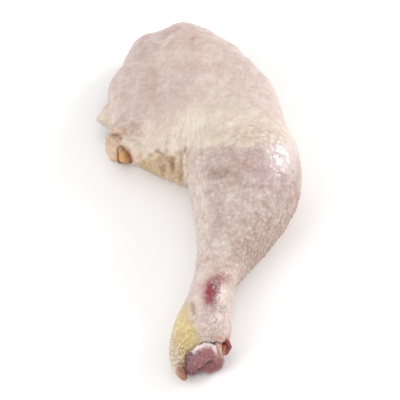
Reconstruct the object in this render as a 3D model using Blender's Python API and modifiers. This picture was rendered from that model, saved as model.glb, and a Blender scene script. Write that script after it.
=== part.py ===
"""A raw chicken leg quarter lying skin side up.

Five pieces: the skin-covered leg (thigh and drumstick in one), the bare thigh meat under the
skin, the shin bone with its cut knuckle at the hock, a red scrap of tendon beside the
knuckle, and a lump of fat in the folded corner of the thigh's skin.

Plan, before the finished leg is centred on its box: the knuckle is near y = 0 and the hip
far, the calf is on the +X side, and the leg rests on z = 0. Lengths in the tables are in
millimetres, and bearings are in degrees from +X towards +Y round the thigh's centre.
"""

import math
from collections import namedtuple

import bmesh
import bpy
import numpy as np
from mathutils import Vector

MM = 0.001
GAP = 0.3  # clearance between one piece and the next

# The drumstick from the cut hock to its end inside the thigh. Each row is one upright
# section: its place along the leg, the skin's left and right sides, underside and top.
Section = namedtuple("Section", "y left right under top")
DRUMSTICK = [
    Section(2, -9.4, 9.5, 3.4, 19),
    Section(3, -12.5, 12.2, 1, 22),
    Section(8, -13.8, 14.2, -1, 24.5),
    Section(16, -13.8, 15.3, -1, 25.5),
    Section(28, -11.4, 14.9, 0, 24.5),
    Section(40, -7.2, 15.4, 1.5, 23.5),
    Section(50, -3.8, 16.7, 2, 24),
    Section(60, -2, 21.4, 1, 27),
    Section(72, -1.2, 30.5, -1, 33),
    Section(85, -2, 39.8, -2, 39.5),
    Section(98, -4, 47.4, -2, 44),
    Section(111, -6, 49.2, -2, 45.5),
    Section(124, -6.6, 48.5, -2, 45),
    Section(137, -4.5, 45, -1, 43),
    Section(150, -1, 40.5, 0, 40.5),
    Section(163, 4, 35, 3, 36.5),
    Section(174, 10, 28, 8, 31),
]
DRUMSTICK_RINGS = 96
DRUMSTICK_SIDES = 64
DRUMSTICK_SQUARENESS = (2.15, 2.6)  # above and below its widest line; 2 is an ellipse
HOCK_CENTRE = (0, 12)  # across and up
HOCK_LENGTH = 42  # where the shape of the cut has died out
# The skin's cut edge round the hock: its place along the leg at a bearing from the right
# side over the top. It has drawn back from the knuckle on the right.
Edge = namedtuple("Edge", "bearing y")
HOCK_EDGE = [
    Edge(10, 18.6),
    Edge(30, 15.2),
    Edge(58, 14.7),
    Edge(88, 12.5),
    Edge(118, 8.9),
    Edge(150, 5.6),
    Edge(189, 3.4),
    Edge(215, 0.9),
    Edge(235, 0.6),
    Edge(255, 8),
    Edge(285, 13),
    Edge(320, 17),
    Edge(345, 19.5),
]

# The thigh is a pad round this centre. Its rim is given by bearing: how far out the rim
# lies, and how high its widest line is.
THIGH_CENTRE = (4, 160)
THIGH_TOP = 40
Rim = namedtuple("Rim", "bearing reach height")
THIGH_RIM = [
    Rim(0, 36, 24),
    Rim(34, 34, 22),
    Rim(55, 37.5, 19),
    Rim(74, 45, 17),
    Rim(90, 55.5, 14),
    Rim(101, 65, 11),
    Rim(112, 64.4, 10),
    Rim(120, 68.3, 9),
    Rim(128, 64, 9),
    Rim(140, 58, 8.5),
    Rim(147, 55.9, 8.5),
    Rim(155, 56.3, 8.5),
    Rim(162, 54.6, 8.5),
    Rim(169, 51.6, 8.5),
    Rim(174.5, 50.6, 8),
    Rim(178.6, 56.8, 7),
    Rim(182.5, 51, 8),
    Rim(190, 50.5, 8.5),
    Rim(204, 55.5, 6.5),
    Rim(213, 46.4, 8),
    Rim(224, 44.6, 9.5),
    Rim(238, 43, 11),
    Rim(250, 44, 12),
    Rim(264, 41.5, 14),
    Rim(285, 42, 18),
    Rim(325, 43, 23),
]
Wave = namedtuple("Wave", "turns out up")
RIM_WAVES = [Wave(17, 0.6, 0.5), Wave(29, 0.5, 0.3)]  # waves round the free edge
THIGH_SEGMENTS = 120
THIGH_RINGS = 48
THIGH_ROUNDNESS = 2.5  # how full the dome is towards its rim
UNDERSIDE_ROUNDNESS = 5
UNDERSIDE_SINK = 4  # how far the pad's round underside would reach below the flat rest

# One skin over both: a voxel mesh of the two forms, softened, most of all at the knee.
SKIN_VOXEL = 1.3
SKIN_SMOOTHING = 14
KNEE = (22, 148, 40)
KNEE_CORE = 12  # softened in full within this distance, and not at all past the radius
KNEE_RADIUS = 34
KNEE_SMOOTHING = 90
SKIN_TRIANGLES = 7600
REST_TOLERANCE = 0.05  # points this near the rest's level lie flat on it

# Valleys pressed into the skin, in plan: a straight line, the valley's half width and its
# depth. A negative depth is a ridge.
Crease = namedtuple("Crease", "start end width depth")
CREASES = [
    Crease((-7.5, 131), (-7, 122), 2.2, 2.2),
    Crease((-46, 149), (-33, 151), 1.8, 1.4),
    Crease((-45, 144), (-36, 146.5), 2.4, -0.8),
]
CREASED_FACING = (-0.5, 0.0)  # the underside, whose normals point lower, has no creases
PLEAT_ROOT = (-9, 133)
PLEAT_BEARINGS = range(112, 176, 13)
PLEAT_REACH = (5, 23)
PLEAT_WIDTH = 1.9
PLEAT_DEPTH = 0.9

# The bare meat under the thigh's skin. Its roof follows the skin from within; it stands
# back from the rim, further where the skin wraps right under the leg.
SKIN_THICKNESS = 3.2
RIM_THICKNESS = 2
HIP_SIDE = (48, 176)  # the bearings between which the skin ends in a free edge
HIP_BLEND = 20
HIP_SETBACK = 7
WRAPPED_SETBACK = 16.5
CUT_PAST_RIM = 9
CUT_BELOW_REST = 5
SUNK_ROOF = 2
MEAT_TURNS = 48
MEAT_RINGS = 9
ROOM_STEPS = 5
MEAT_ROOF_LIMIT = 22  # the skin is thick over the middle, where no edge shows
MUSCLE_GROOVES = [
    Crease((-40, 163), (22, 190), 4.0, 2.6),
    Crease((-28, 143), (30, 172), 3.6, 2.2),
]

# The shin bone: sections as the drumstick's, with the two lobes of its knuckle and the
# gristle on its right.
SHANK = [
    Section(13.5, -4.5, 6.5, 5.5, 16),
    Section(21.5, -3.4, 4.8, 7, 14.5),
    Section(31, -2.4, 4.6, 8, 15),
    Section(60, 2.6, 9.6, 10, 17),
    Section(100, 12.6, 20.4, 13.6, 21),
    Section(112, 14.6, 24.4, 14, 23),
    Section(118, 17, 24, 16, 22),
]
SHANK_RINGS = 40
SHANK_SIDES = 24
ROUND = (2, 2)  # the squareness of a loft that is elliptic above and below
Lobe = namedtuple("Lobe", "centre radii")
KNUCKLE = [
    Lobe((-1, 12, 10), (9.4, 8, 8.2)),
    Lobe((5.4, 11.3, 6.6), (6, 7.5, 5.8)),
    Lobe((-4.4, 10, 5.4), (6.2, 5.6, 5.2)),
    Lobe((7.8, 15.8, 9.4), (3.1, 4.9, 6.4)),
    Lobe((8.4, 14, 6), (2.5, 3.6, 4.6)),
]
MOUTH = Lobe((-0.6, 5, 9.8), (8.8, 8.6, 8))  # widens the skin's opening in front of it
KNUCKLE_FACE = 5.9  # where the saw cut crosses the rest's level
KNUCKLE_SLANT = 0.2  # how far that cut leans back for each millimetre of height
KNUCKLE_TURN = 0.02  # and how fast it curves away to the right
BONE_CLEAR_OF_REST = 0.2
KNUCKLE_VOXEL = 0.7
KNUCKLE_SMOOTHING = 5
BONE_TRIANGLES = 1000
BONE_CLEARANCE = 0.6  # more than the gap, as both surfaces are thinned out
POCKET_TRIANGLES = 900

# The red stump of tendon beside the knuckle, which runs back into the flesh, and the fat
# with the hollow that it lies in, open to the outside.
SCRAP = [
    Section(12.6, 11.8, 13.4, 7, 11),
    Section(14, 11.2, 14.5, 4.2, 13),
    Section(17, 11.1, 15, 2.4, 14),
    Section(20, 10.2, 14.4, 1.8, 13),
    Section(23, 7.6, 12, 3, 12),
    Section(27, 7, 10.6, 6, 11),
    Section(29, 8, 9.8, 7.5, 9.5),
]
SCRAP_RINGS = 15
SCRAP_SIDES = 14
SCRAP_CLEARANCE = 0.5
FAT = [
    Lobe((-37.2, 139.5, 6.9), (4, 4.7, 6.2)),
    Lobe((-39, 140, 12.4), (2.3, 3.8, 4.2)),
]
FAT_ROOM = [
    Lobe((-37.2, 138.2, 7.6), (4.7, 7, 8.2)),
    Lobe((-39.2, 138.6, 12.8), (2.9, 6, 5.4)),
]
FAT_VOXEL = 0.6
FAT_SMOOTHING = 3
FAT_TRIANGLES = 280
LUMP_SEGMENTS = 20
LUMP_RINGS = 10

# Each piece's colour, roughness and metallic value.
Finish = namedtuple("Finish", "colour roughness metallic")
FINISHES = {
    "leg": Finish((0.66, 0.53, 0.46), 0.38, 0.0),
    "thigh_meat": Finish((0.5, 0.22, 0.2), 0.35, 0.0),
    "shank_bone": Finish((0.34, 0.14, 0.15), 0.35, 0.0),
    "hock_scrap": Finish((0.28, 0.05, 0.05), 0.3, 0.0),
    "thigh_fat": Finish((0.6, 0.34, 0.14), 0.35, 0.0),
}


# Curves and distances


def hermite(share, start, end, leave, arrive):
    s2, s3 = share**2, share**3
    return (
        (2 * s3 - 3 * s2 + 1) * start
        + (s3 - 2 * s2 + share) * leave
        + (3 * s2 - 2 * s3) * end
        + (s3 - s2) * arrive
    )


def smooth_rows(rows, count):
    """The rows' numbers, read at `count` even steps along a smooth curve through them."""
    table = np.array(rows, float)
    last = len(table) - 1
    at = np.linspace(0, last, count)
    first = np.clip(at.astype(int), 0, last - 1)
    share = (at - first)[:, None]
    start, end = table[first], table[first + 1]
    leave = (end - table[np.maximum(first - 1, 0)]) / 2
    arrive = (table[np.minimum(first + 2, last)] - start) / 2
    return hermite(share, start, end, leave, arrive)


def round_rows(rows, bearing):
    """The rows' numbers at a bearing in radians, along a smooth closed curve through them."""
    table = np.array(rows, float)
    turns = np.concatenate([table[-2:], table, table[:3]])
    turns[:2, 0] -= 360
    turns[-3:, 0] += 360
    at = math.degrees(bearing) % 360
    k = int(np.searchsorted(turns[:, 0], at, side="right")) - 1
    a, b, c, d = turns[k - 1 : k + 3]
    span = c[0] - b[0]
    leave = (c - a) / (c[0] - a[0]) * span
    arrive = (d - b) / (d[0] - b[0]) * span
    return hermite((at - b[0]) / span, b, c, leave, arrive)[1:]


def rim_at(bearing):
    """The thigh rim's reach and the height of its widest line."""
    return round_rows(THIGH_RIM, bearing)


def superellipse(angle, power):
    """A point on the unit superellipse."""
    c, s = math.cos(angle), math.sin(angle)
    return (
        math.copysign(abs(c) ** (2 / power), c),
        math.copysign(abs(s) ** (2 / power), s),
    )


def fade(value, start, end):
    """0 before start, 1 after end, and smooth between."""
    share = np.clip((value - start) / (end - start), 0, 1)
    return share * share * (3 - 2 * share)


def on_hip_side(bearing):
    """1 where the skin ends in a free edge, 0 where it wraps under the leg."""
    at = math.degrees(bearing) % 360
    first, last = HIP_SIDE
    return fade(at, first - HIP_BLEND, first) * (1 - fade(at, last, last + HIP_BLEND))


def crease_depth(x, y, crease):
    """How deep a crease is at plan points: a smooth valley along its line."""
    (ax, ay), (bx, by) = crease.start, crease.end
    run = np.array((bx - ax, by - ay))
    along = ((x - ax) * run[0] + (y - ay) * run[1]) / (run @ run)
    along = np.clip(along, 0, 1)
    away = np.hypot(x - ax - along * run[0], y - ay - along * run[1])
    return crease.depth * np.exp(-((away / crease.width) ** 2))


def pleats():
    """Small creases that fan out over the thigh from where the drumstick meets it."""
    near, far = PLEAT_REACH
    for bearing in PLEAT_BEARINGS:
        u, w = math.cos(math.radians(bearing)), math.sin(math.radians(bearing))
        x, y = PLEAT_ROOT
        start = (x + near * u, y + near * w)
        end = (x + far * u, y + far * w)
        yield Crease(start, end, PLEAT_WIDTH, PLEAT_DEPTH)


# Meshes


def mesh_object(name, bm):
    bmesh.ops.recalc_face_normals(bm, faces=bm.faces)
    mesh = bpy.data.meshes.new(name)
    bm.to_mesh(mesh)
    bm.free()
    obj = bpy.data.objects.new(name, mesh)
    bpy.context.scene.collection.objects.link(obj)
    return obj


def skin_rings(bm, loops):
    """Faces between neighbouring loops of vertices, with both ends closed."""
    for near, far in zip(loops, loops[1:]):
        for k in range(len(near)):
            n = (k + 1) % len(near)
            bm.faces.new((near[k], near[n], far[n], far[k]))
    bm.faces.new(reversed(loops[0]))
    bm.faces.new(loops[-1])


def loft(name, sections, rings, sides, powers):
    """A closed loft through upright sections, with a power each for upper and lower half."""
    bm = bmesh.new()
    loops = []
    for y, left, right, under, top in smooth_rows(sections, rings):
        cx, cz = (left + right) / 2, (under + top) / 2
        a, b = (right - left) / 2, (top - under) / 2
        loop = []
        for k in range(sides):
            power = powers[0] if k < sides / 2 else powers[1]
            u, w = superellipse(2 * math.pi * k / sides, power)
            loop.append(bm.verts.new(Vector((cx + a * u, y, cz + b * w)) * MM))
        loops.append(loop)
    skin_rings(bm, loops)
    return mesh_object(name, bm)


def lump(name, lobe, grow=0.0):
    """An ellipsoid with the lobe's centre and radii, grown by `grow` all round."""
    bm = bmesh.new()
    bmesh.ops.create_uvsphere(bm, u_segments=LUMP_SEGMENTS, v_segments=LUMP_RINGS, radius=1)
    for v in bm.verts:
        for axis in range(3):
            size = lobe.radii[axis] + grow
            v.co[axis] = (lobe.centre[axis] + v.co[axis] * size) * MM
    return mesh_object(name, bm)


def joined(name, pieces):
    bpy.ops.object.select_all(action="DESELECT")
    for piece in pieces:
        piece.select_set(True)
    bpy.context.view_layer.objects.active = pieces[0]
    bpy.ops.object.join()
    pieces[0].name = name
    pieces[0].data.name = name
    return pieces[0]


def settle(obj):
    """Applies the object's modifiers to its mesh."""
    graph = bpy.context.evaluated_depsgraph_get()
    mesh = bpy.data.meshes.new_from_object(obj.evaluated_get(graph))
    obj.modifiers.clear()
    old, obj.data = obj.data, mesh
    bpy.data.meshes.remove(old)
    mesh.name = obj.name


def fuse(obj, voxel, smoothing):
    """Makes one softened body of a mesh's overlapping shells."""
    remesh = obj.modifiers.new("one body", "REMESH")
    remesh.mode = "VOXEL"
    remesh.voxel_size = voxel * MM
    soften(obj, smoothing)
    settle(obj)


def soften(obj, times, group=""):
    smooth = obj.modifiers.new("soften", "SMOOTH")
    smooth.iterations = times
    smooth.factor = 0.5
    smooth.vertex_group = group


def thin_out(obj, triangles):
    obj.data.calc_loop_triangles()
    fewer = obj.modifiers.new("fewer triangles", "DECIMATE")
    fewer.ratio = triangles / len(obj.data.loop_triangles)
    settle(obj)


def cut(obj, cutter):
    boolean = obj.modifiers.new("room for " + cutter.name, "BOOLEAN")
    boolean.operation = "DIFFERENCE"
    boolean.solver = "EXACT"
    boolean.object = cutter


def points_of(obj):
    flat = np.empty(len(obj.data.vertices) * 3, np.float32)
    obj.data.vertices.foreach_get("co", flat)
    return flat.reshape(-1, 3).astype(float) / MM


def set_points(obj, points):
    obj.data.vertices.foreach_set("co", (points * MM).astype(np.float32).ravel())
    obj.data.update()


def normals_of(obj):
    flat = np.empty(len(obj.data.vertices) * 3, np.float32)
    obj.data.vertices.foreach_get("normal", flat)
    return flat.reshape(-1, 3).astype(float)


# The skin-covered leg


def hock_setback(x, z):
    """How far the skin's cut edge stands back from the drumstick's first section."""
    bearing = math.atan2(z - HOCK_CENTRE[1], x - HOCK_CENTRE[0])
    return round_rows(HOCK_EDGE, bearing)[0] - DRUMSTICK[0].y


def drumstick_form():
    drum = loft(
        "drumstick", DRUMSTICK, DRUMSTICK_RINGS, DRUMSTICK_SIDES, DRUMSTICK_SQUARENESS
    )
    points = points_of(drum)
    near = 1 - fade(points[:, 1], 0, HOCK_LENGTH)
    points[:, 1] += near * [hock_setback(x, z) for x, y, z in points]
    set_points(drum, points)
    return drum


def thigh_form():
    """A ball pulled out to the thigh's rim: domed above its widest line, boxy below."""
    bm = bmesh.new()
    bmesh.ops.create_uvsphere(
        bm, u_segments=THIGH_SEGMENTS, v_segments=THIGH_RINGS, radius=1
    )
    for v in bm.verts:
        bearing = math.atan2(v.co.y, v.co.x)
        reach, waist = rim_at(bearing)
        for wave in RIM_WAVES:
            swing = on_hip_side(bearing) * math.sin(wave.turns * bearing)
            reach += wave.out * swing
            waist += wave.up * swing
        rise = max(-1.0, min(1.0, v.co.z))
        out = math.sqrt(1 - rise * rise)
        if rise >= 0:
            out **= 2 / THIGH_ROUNDNESS
            z = waist + (THIGH_TOP - waist) * rise
        else:
            out **= 2 / UNDERSIDE_ROUNDNESS
            z = waist + (waist + UNDERSIDE_SINK) * rise
        x = THIGH_CENTRE[0] + out * reach * math.cos(bearing)
        y = THIGH_CENTRE[1] + out * reach * math.sin(bearing)
        v.co = Vector((x, y, z)) * MM
    return mesh_object("thigh", bm)


def soften_knee(leg):
    """Lets the drumstick's round end sink into the thigh with no step."""
    away = np.linalg.norm(points_of(leg) - np.array(KNEE), axis=1)
    weights = 1 - fade(away, KNEE_CORE, KNEE_RADIUS)
    group = leg.vertex_groups.new(name="knee")
    for index in np.flatnonzero(weights > 0):
        group.add([int(index)], float(weights[index]), "REPLACE")
    soften(leg, KNEE_SMOOTHING, "knee")
    settle(leg)


def press_creases(leg):
    points, normals = points_of(leg), normals_of(leg)
    depth = np.zeros(len(points))
    for crease in CREASES + list(pleats()):
        depth += crease_depth(points[:, 0], points[:, 1], crease)
    upper = fade(normals[:, 2], *CREASED_FACING)
    points -= normals * (depth * upper)[:, None]
    points[:, 2] = np.maximum(points[:, 2], 0)
    set_points(leg, points)


def make_leg():
    leg = joined("leg", [drumstick_form(), thigh_form()])
    fuse(leg, SKIN_VOXEL, SKIN_SMOOTHING)
    soften_knee(leg)
    press_creases(leg)
    thin_out(leg, SKIN_TRIANGLES)
    points = points_of(leg)
    points[:, 2] = np.where(points[:, 2] < REST_TOLERANCE, 0, points[:, 2])
    set_points(leg, points)
    return leg


# The thigh's meat and the room it takes under the skin


def roof_at(bearing, out):
    """The height of the skin's inner side, `out` millimetres from the thigh's centre."""
    reach, waist = rim_at(bearing)
    share = min(1.0, out / (reach - SKIN_THICKNESS))
    rise = math.sqrt(1 - share**THIGH_ROUNDNESS)
    top = THIGH_TOP - SKIN_THICKNESS
    full = waist - RIM_THICKNESS + (top - waist + RIM_THICKNESS) * rise
    return min(full, MEAT_ROOF_LIMIT)


def thigh_block(name, rings_at, lower, under):
    """A flat-based body whose top has rings where `rings_at` puts them, as (out, height);
    `lower` is the clearance below those heights, and `under` is the height of its base."""
    bm = bmesh.new()
    roof, base = [], []
    for turn in range(MEAT_TURNS):
        bearing = 2 * math.pi * turn / MEAT_TURNS
        above, below = [], []
        for out, height in rings_at(bearing):
            x = THIGH_CENTRE[0] + out * math.cos(bearing)
            y = THIGH_CENTRE[1] + out * math.sin(bearing)
            above.append(bm.verts.new(Vector((x, y, height - lower)) * MM))
            below.append(bm.verts.new(Vector((x, y, under)) * MM))
        roof.append(above)
        base.append(below)
    skin_rings(bm, list(zip(*roof)) + list(zip(*base))[::-1])
    return mesh_object(name, bm)


def setback(bearing):
    """How far the meat stands back from the rim."""
    hip = on_hip_side(bearing)
    return WRAPPED_SETBACK + (HIP_SETBACK - WRAPPED_SETBACK) * hip


def meat_rings(bearing):
    reach = rim_at(bearing)[0] - setback(bearing)
    outs = [reach * math.sin(math.pi / 2 * (k + 1) / MEAT_RINGS) for k in range(MEAT_RINGS)]
    return [(out, roof_at(bearing, out)) for out in outs]


def room_rings(bearing):
    """The meat's rings, a wall close round it, and from there a cut on out past the rim,
    whose top sinks below the rest where the skin wraps under the leg."""
    rings = meat_rings(bearing)
    wall, height = rings[-1][0] + GAP, rings[-1][1]
    rings.append((wall, height))
    hip = on_hip_side(bearing)
    for k in range(ROOM_STEPS + 1):
        out = wall + (setback(bearing) + CUT_PAST_RIM) * k / ROOM_STEPS
        eave = roof_at(bearing, out)
        rings.append((out, eave * hip - SUNK_ROOF * (1 - hip)))
    return rings


def make_thigh_meat():
    meat = thigh_block("thigh_meat", meat_rings, GAP, 0)
    points = points_of(meat)
    grooves = sum(crease_depth(points[:, 0], points[:, 1], g) for g in MUSCLE_GROOVES)
    points[:, 2] += np.where(points[:, 2] < REST_TOLERANCE, grooves, 0)
    set_points(meat, points)
    return meat


# The bone and the small pieces


def grown(sections, by):
    """The sections of a form that is bigger all round."""
    rows = [Section(s.y, s.left - by, s.right + by, s.under - by, s.top + by) for s in sections]
    rows[0] = rows[0]._replace(y=rows[0].y - by)
    rows[-1] = rows[-1]._replace(y=rows[-1].y + by)
    return rows


def bone_form(name, lobes, grow=0.0):
    """The shin bone with lobes at its near end, grown all round by `grow`."""
    shaft = loft(name, grown(SHANK, grow), SHANK_RINGS, SHANK_SIDES, ROUND)
    ends = [lump(f"{name} lobe {k}", lobe, grow) for k, lobe in enumerate(lobes)]
    bone = joined(name, [shaft] + ends)
    fuse(bone, KNUCKLE_VOXEL, KNUCKLE_SMOOTHING)
    return bone


def make_shank_bone():
    bone = bone_form("shank_bone", KNUCKLE)
    points = points_of(bone)
    face = KNUCKLE_FACE + KNUCKLE_SLANT * points[:, 2]
    face += KNUCKLE_TURN * np.maximum(0, points[:, 0]) ** 2
    points[:, 1] = np.maximum(points[:, 1], face)
    points[:, 2] = np.maximum(points[:, 2], BONE_CLEAR_OF_REST)
    set_points(bone, points)
    thin_out(bone, BONE_TRIANGLES)
    return bone


def fat_form(name, lobes):
    fat = joined(name, [lump(f"{name} lobe {k}", lobe) for k, lobe in enumerate(lobes)])
    fuse(fat, FAT_VOXEL, FAT_SMOOTHING)
    thin_out(fat, FAT_TRIANGLES)
    return fat


def scrap_form(name, grow=0.0):
    return loft(name, grown(SCRAP, grow), SCRAP_RINGS, SCRAP_SIDES, ROUND)


def put_in(collection, obj):
    for other in list(obj.users_collection):
        other.objects.unlink(obj)
    collection.objects.link(obj)


def paint(obj):
    finish = FINISHES[obj.name]
    material = bpy.data.materials.new(obj.name)
    material.use_nodes = True
    shader = material.node_tree.nodes["Principled BSDF"]
    shader.inputs["Base Color"].default_value = (*finish.colour, 1)
    shader.inputs["Roughness"].default_value = finish.roughness
    shader.inputs["Metallic"].default_value = finish.metallic
    obj.data.materials.append(material)
    obj.data.shade_smooth()


def centre_on_box(parts, others):
    """Hangs everything on an empty that puts the middle of the leg's box over the origin."""
    bpy.context.view_layer.update()
    graph = bpy.context.evaluated_depsgraph_get()
    corners = [Vector(c) for part in parts for c in part.evaluated_get(graph).bound_box]
    anchor = bpy.data.objects.new("leg_quarter", None)
    parts[0].users_collection[0].objects.link(anchor)
    for axis in range(2):
        places = [corner[axis] for corner in corners]
        anchor.location[axis] = -(min(places) + max(places)) / 2
    for obj in parts + others:
        obj.parent = anchor


def main():
    for obj in list(bpy.data.objects):
        bpy.data.objects.remove(obj)
    leg = make_leg()
    meat = make_thigh_meat()
    bone = make_shank_bone()
    scrap = scrap_form("hock_scrap")
    fat = fat_form("thigh_fat", FAT)

    meat_room = thigh_block("meat_room", room_rings, 0, -CUT_BELOW_REST)
    bone_room = bone_form("bone_room", KNUCKLE + [MOUTH], BONE_CLEARANCE)
    thin_out(bone_room, POCKET_TRIANGLES)
    scrap_room = scrap_form("scrap_room", SCRAP_CLEARANCE)
    fat_room = fat_form("fat_room", FAT_ROOM)
    rooms = [meat_room, bone_room, scrap_room, fat_room]
    for room in rooms:
        cut(leg, room)

    parts = [leg, meat, bone, scrap, fat]
    shapes = bpy.data.collections.new("raw_chicken_leg_quarter")
    cutters = bpy.data.collections.new("cutters")
    for collection in (shapes, cutters):
        bpy.context.scene.collection.children.link(collection)
    for part in parts:
        put_in(shapes, part)
        paint(part)
    for room in rooms:
        put_in(cutters, room)
        room.hide_render = True
        room.display_type = "WIRE"
    centre_on_box(parts, rooms)


main()
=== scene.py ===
"""The looks of a raw chicken leg quarter: the finished skin with its creases, pleats, goose
bumps, yellow scales and bruise, the thigh meat, the cut knuckle, the tendon scrap and the
lump of fat, on a plain pale stage.

It is laid out as a Blender add-on and run as a script. Lengths in the tables are in
millimetres in the part's own frame: +Y from hock to hip, +X to the calf side, +Z up.
Places on the skin are given as the camera sees them: to the right of and above the middle
of the view, in the plane through the point it looks at.
"""

import math
from collections import namedtuple

import bmesh
import bpy
import numpy as np
from bpy.props import FloatProperty, FloatVectorProperty, IntProperty, PointerProperty
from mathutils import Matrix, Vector, noise


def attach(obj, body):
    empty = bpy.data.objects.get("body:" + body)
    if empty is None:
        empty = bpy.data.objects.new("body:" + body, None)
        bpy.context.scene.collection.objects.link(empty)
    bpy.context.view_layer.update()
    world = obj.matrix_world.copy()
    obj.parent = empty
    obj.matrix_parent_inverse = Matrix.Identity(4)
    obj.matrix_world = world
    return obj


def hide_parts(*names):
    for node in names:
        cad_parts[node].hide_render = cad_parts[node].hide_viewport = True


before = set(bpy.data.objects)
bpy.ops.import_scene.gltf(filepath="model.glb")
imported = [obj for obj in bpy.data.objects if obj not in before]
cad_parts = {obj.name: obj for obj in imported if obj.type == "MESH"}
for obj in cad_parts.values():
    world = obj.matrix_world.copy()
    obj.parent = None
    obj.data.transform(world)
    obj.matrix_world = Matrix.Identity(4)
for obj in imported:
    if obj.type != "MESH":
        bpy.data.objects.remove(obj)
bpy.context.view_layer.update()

bl_info = {
    "name": "Raw Chicken Leg Quarter",
    "version": (1, 0, 0),
    "blender": (4, 5, 0),
    "location": "View3D > Sidebar > Leg Quarter",
    "description": "Makes a raw chicken leg quarter's skin, meat, knuckle, fat and stage",
    "category": "Object",
}

MM = 0.001
SAME_PLACE = 1e-6  # metres within which two of a mesh's corners are one

# The camera, at the photograph's viewing angle. VIEW_WIDTH is how much it sees across.
ELEVATION = math.radians(48)
CAMERA_DISTANCE = 1000
LOOK_AT = np.array((0.9, -12.7, 18.0))
VIEW_WIDTH = 193.2
VIEW_RIGHT = np.array((1.0, 0, 0))
VIEW_BACK = np.array((0, -math.cos(ELEVATION), math.sin(ELEVATION)))
VIEW_UP = np.array((0, math.sin(ELEVATION), math.cos(ELEVATION)))


# Arrays of points, and fields over them


def points_of(mesh):
    flat = np.empty(len(mesh.vertices) * 3, np.float32)
    mesh.vertices.foreach_get("co", flat)
    return flat.reshape(-1, 3).astype(float) / MM


def set_points(mesh, points):
    mesh.vertices.foreach_set("co", (points * MM).astype(np.float32).ravel())
    mesh.update()


def normals_of(mesh):
    flat = np.empty(len(mesh.vertices) * 3, np.float32)
    mesh.vertices.foreach_get("normal", flat)
    return flat.reshape(-1, 3).astype(float)


def fade(value, start, end):
    """0 before start, 1 after end, and smooth between."""
    share = np.clip((value - start) / (end - start), 0, 1)
    return share * share * (3 - 2 * share)


def noise_over(points, size, shift=0.0):
    """Smooth noise from -1 to 1 whose blobs are about `size` millimetres, or a size for
    each axis. Each shift gives another noise."""
    scaled = points / np.array(size, float) + shift
    return np.array([noise.noise(Vector(p)) for p in scaled])


def layered(points, layers):
    """Noises added up: each layer is how far it goes, its size and its shift."""
    return sum(height * noise_over(points, size, shift) for height, size, shift in layers)


def seen(points):
    """Where the camera sees each point: millimetres to the right and up, as an array."""
    away = points - LOOK_AT
    near = CAMERA_DISTANCE / (CAMERA_DISTANCE - away @ VIEW_BACK)
    return np.stack((away[:, 0] * near, away @ VIEW_UP * near), axis=1)


def ellipse(places, centre, radii, turn=0.0, blur=0.5):
    """1 inside an ellipse turned by `turn` degrees, fading out over the outer `blur` of it."""
    c, s = math.cos(math.radians(turn)), math.sin(math.radians(turn))
    away = places - np.array(centre)
    u = (away[:, 0] * c + away[:, 1] * s) / radii[0]
    v = (away[:, 1] * c - away[:, 0] * s) / radii[1]
    return 1 - fade(np.hypot(u, v), 1 - blur, 1 + blur)


def spots(places, table):
    """An ellipse for each row of the table: how strong it is, and then where it lies."""
    return [strength * ellipse(places, *where) for strength, *where in table]


def line_distance(places, start, end):
    """How far each place is from a straight line between two points."""
    a, run = np.array(start, float), np.array(end, float) - np.array(start, float)
    along = np.clip((places - a) @ run / (run @ run), 0, 1)
    return np.linalg.norm(places - a - along[:, None] * run, axis=1)


def stroke(places, stops, width):
    """1 along a line through the stops, fading out to its sides."""
    away = [line_distance(places, a, b) for a, b in zip(stops, stops[1:])]
    return np.exp(-((np.min(away, axis=0) / width) ** 2))


def shifted(points, shift):
    """The points moved by so much to the right and up in the camera's view."""
    return points + shift[:, :1] * VIEW_RIGHT + shift[:, 1:] * VIEW_UP


def over_line(places, stops, edge):
    """0 below a line that runs from left to right, 1 above it, fading between two distances
    from it."""
    level = np.interp(places[:, 0], *np.transpose(stops))
    return fade(places[:, 1], level + edge[0], level + edge[1])


def mixed(colours, colour, mask):
    return colours + (np.array(colour) - colours) * mask[:, None]


def one_colour(colour, count):
    """The same colour for each of so many points."""
    return np.tile(np.array(colour), (count, 1))


def srgb(red, green, blue):
    """A colour given as 0 to 255 on screen, as Blender's linear values."""
    shares = [c / 255 for c in (red, green, blue)]
    return tuple(c / 12.92 if c <= 0.04045 else ((c + 0.055) / 1.055) ** 2.4 for c in shares)


# Sizes and colours that can be changed


def length_property(name, description, millimetres):
    return FloatProperty(
        name=name, description=description, default=millimetres * MM, unit="LENGTH"
    )


def power_property(name, description, watts):
    return FloatProperty(name=name, description=description, default=watts, unit="POWER")


def colour_property(name, description, value):
    return FloatVectorProperty(
        name=name, description=description, default=value, subtype="COLOR", min=0, max=1
    )


class LegSizes(bpy.types.PropertyGroup):
    skin_grain: length_property("Skin mesh size", "Size of the fine mesh's faces", 0.76)
    follicle_spacing: length_property("Goose bump spacing", "From one to the next", 2.1)
    follicle_width: length_property("Goose bump radius", "How far each one spreads", 1.6)
    follicle_height: length_property("Goose bump height", "How far each one stands up", 0.55)
    scale_spacing: length_property("Scale spacing", "From one shank scale to the next", 1.5)
    scale_height: length_property("Scale height", "How far the scales stand up", 0.26)
    wrinkle_depth: length_property("Wrinkle depth", "How deep the fine wrinkles are", 0.5)
    seed: IntProperty(name="Seed", description="Which scattering of bumps is used", default=7)


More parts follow.
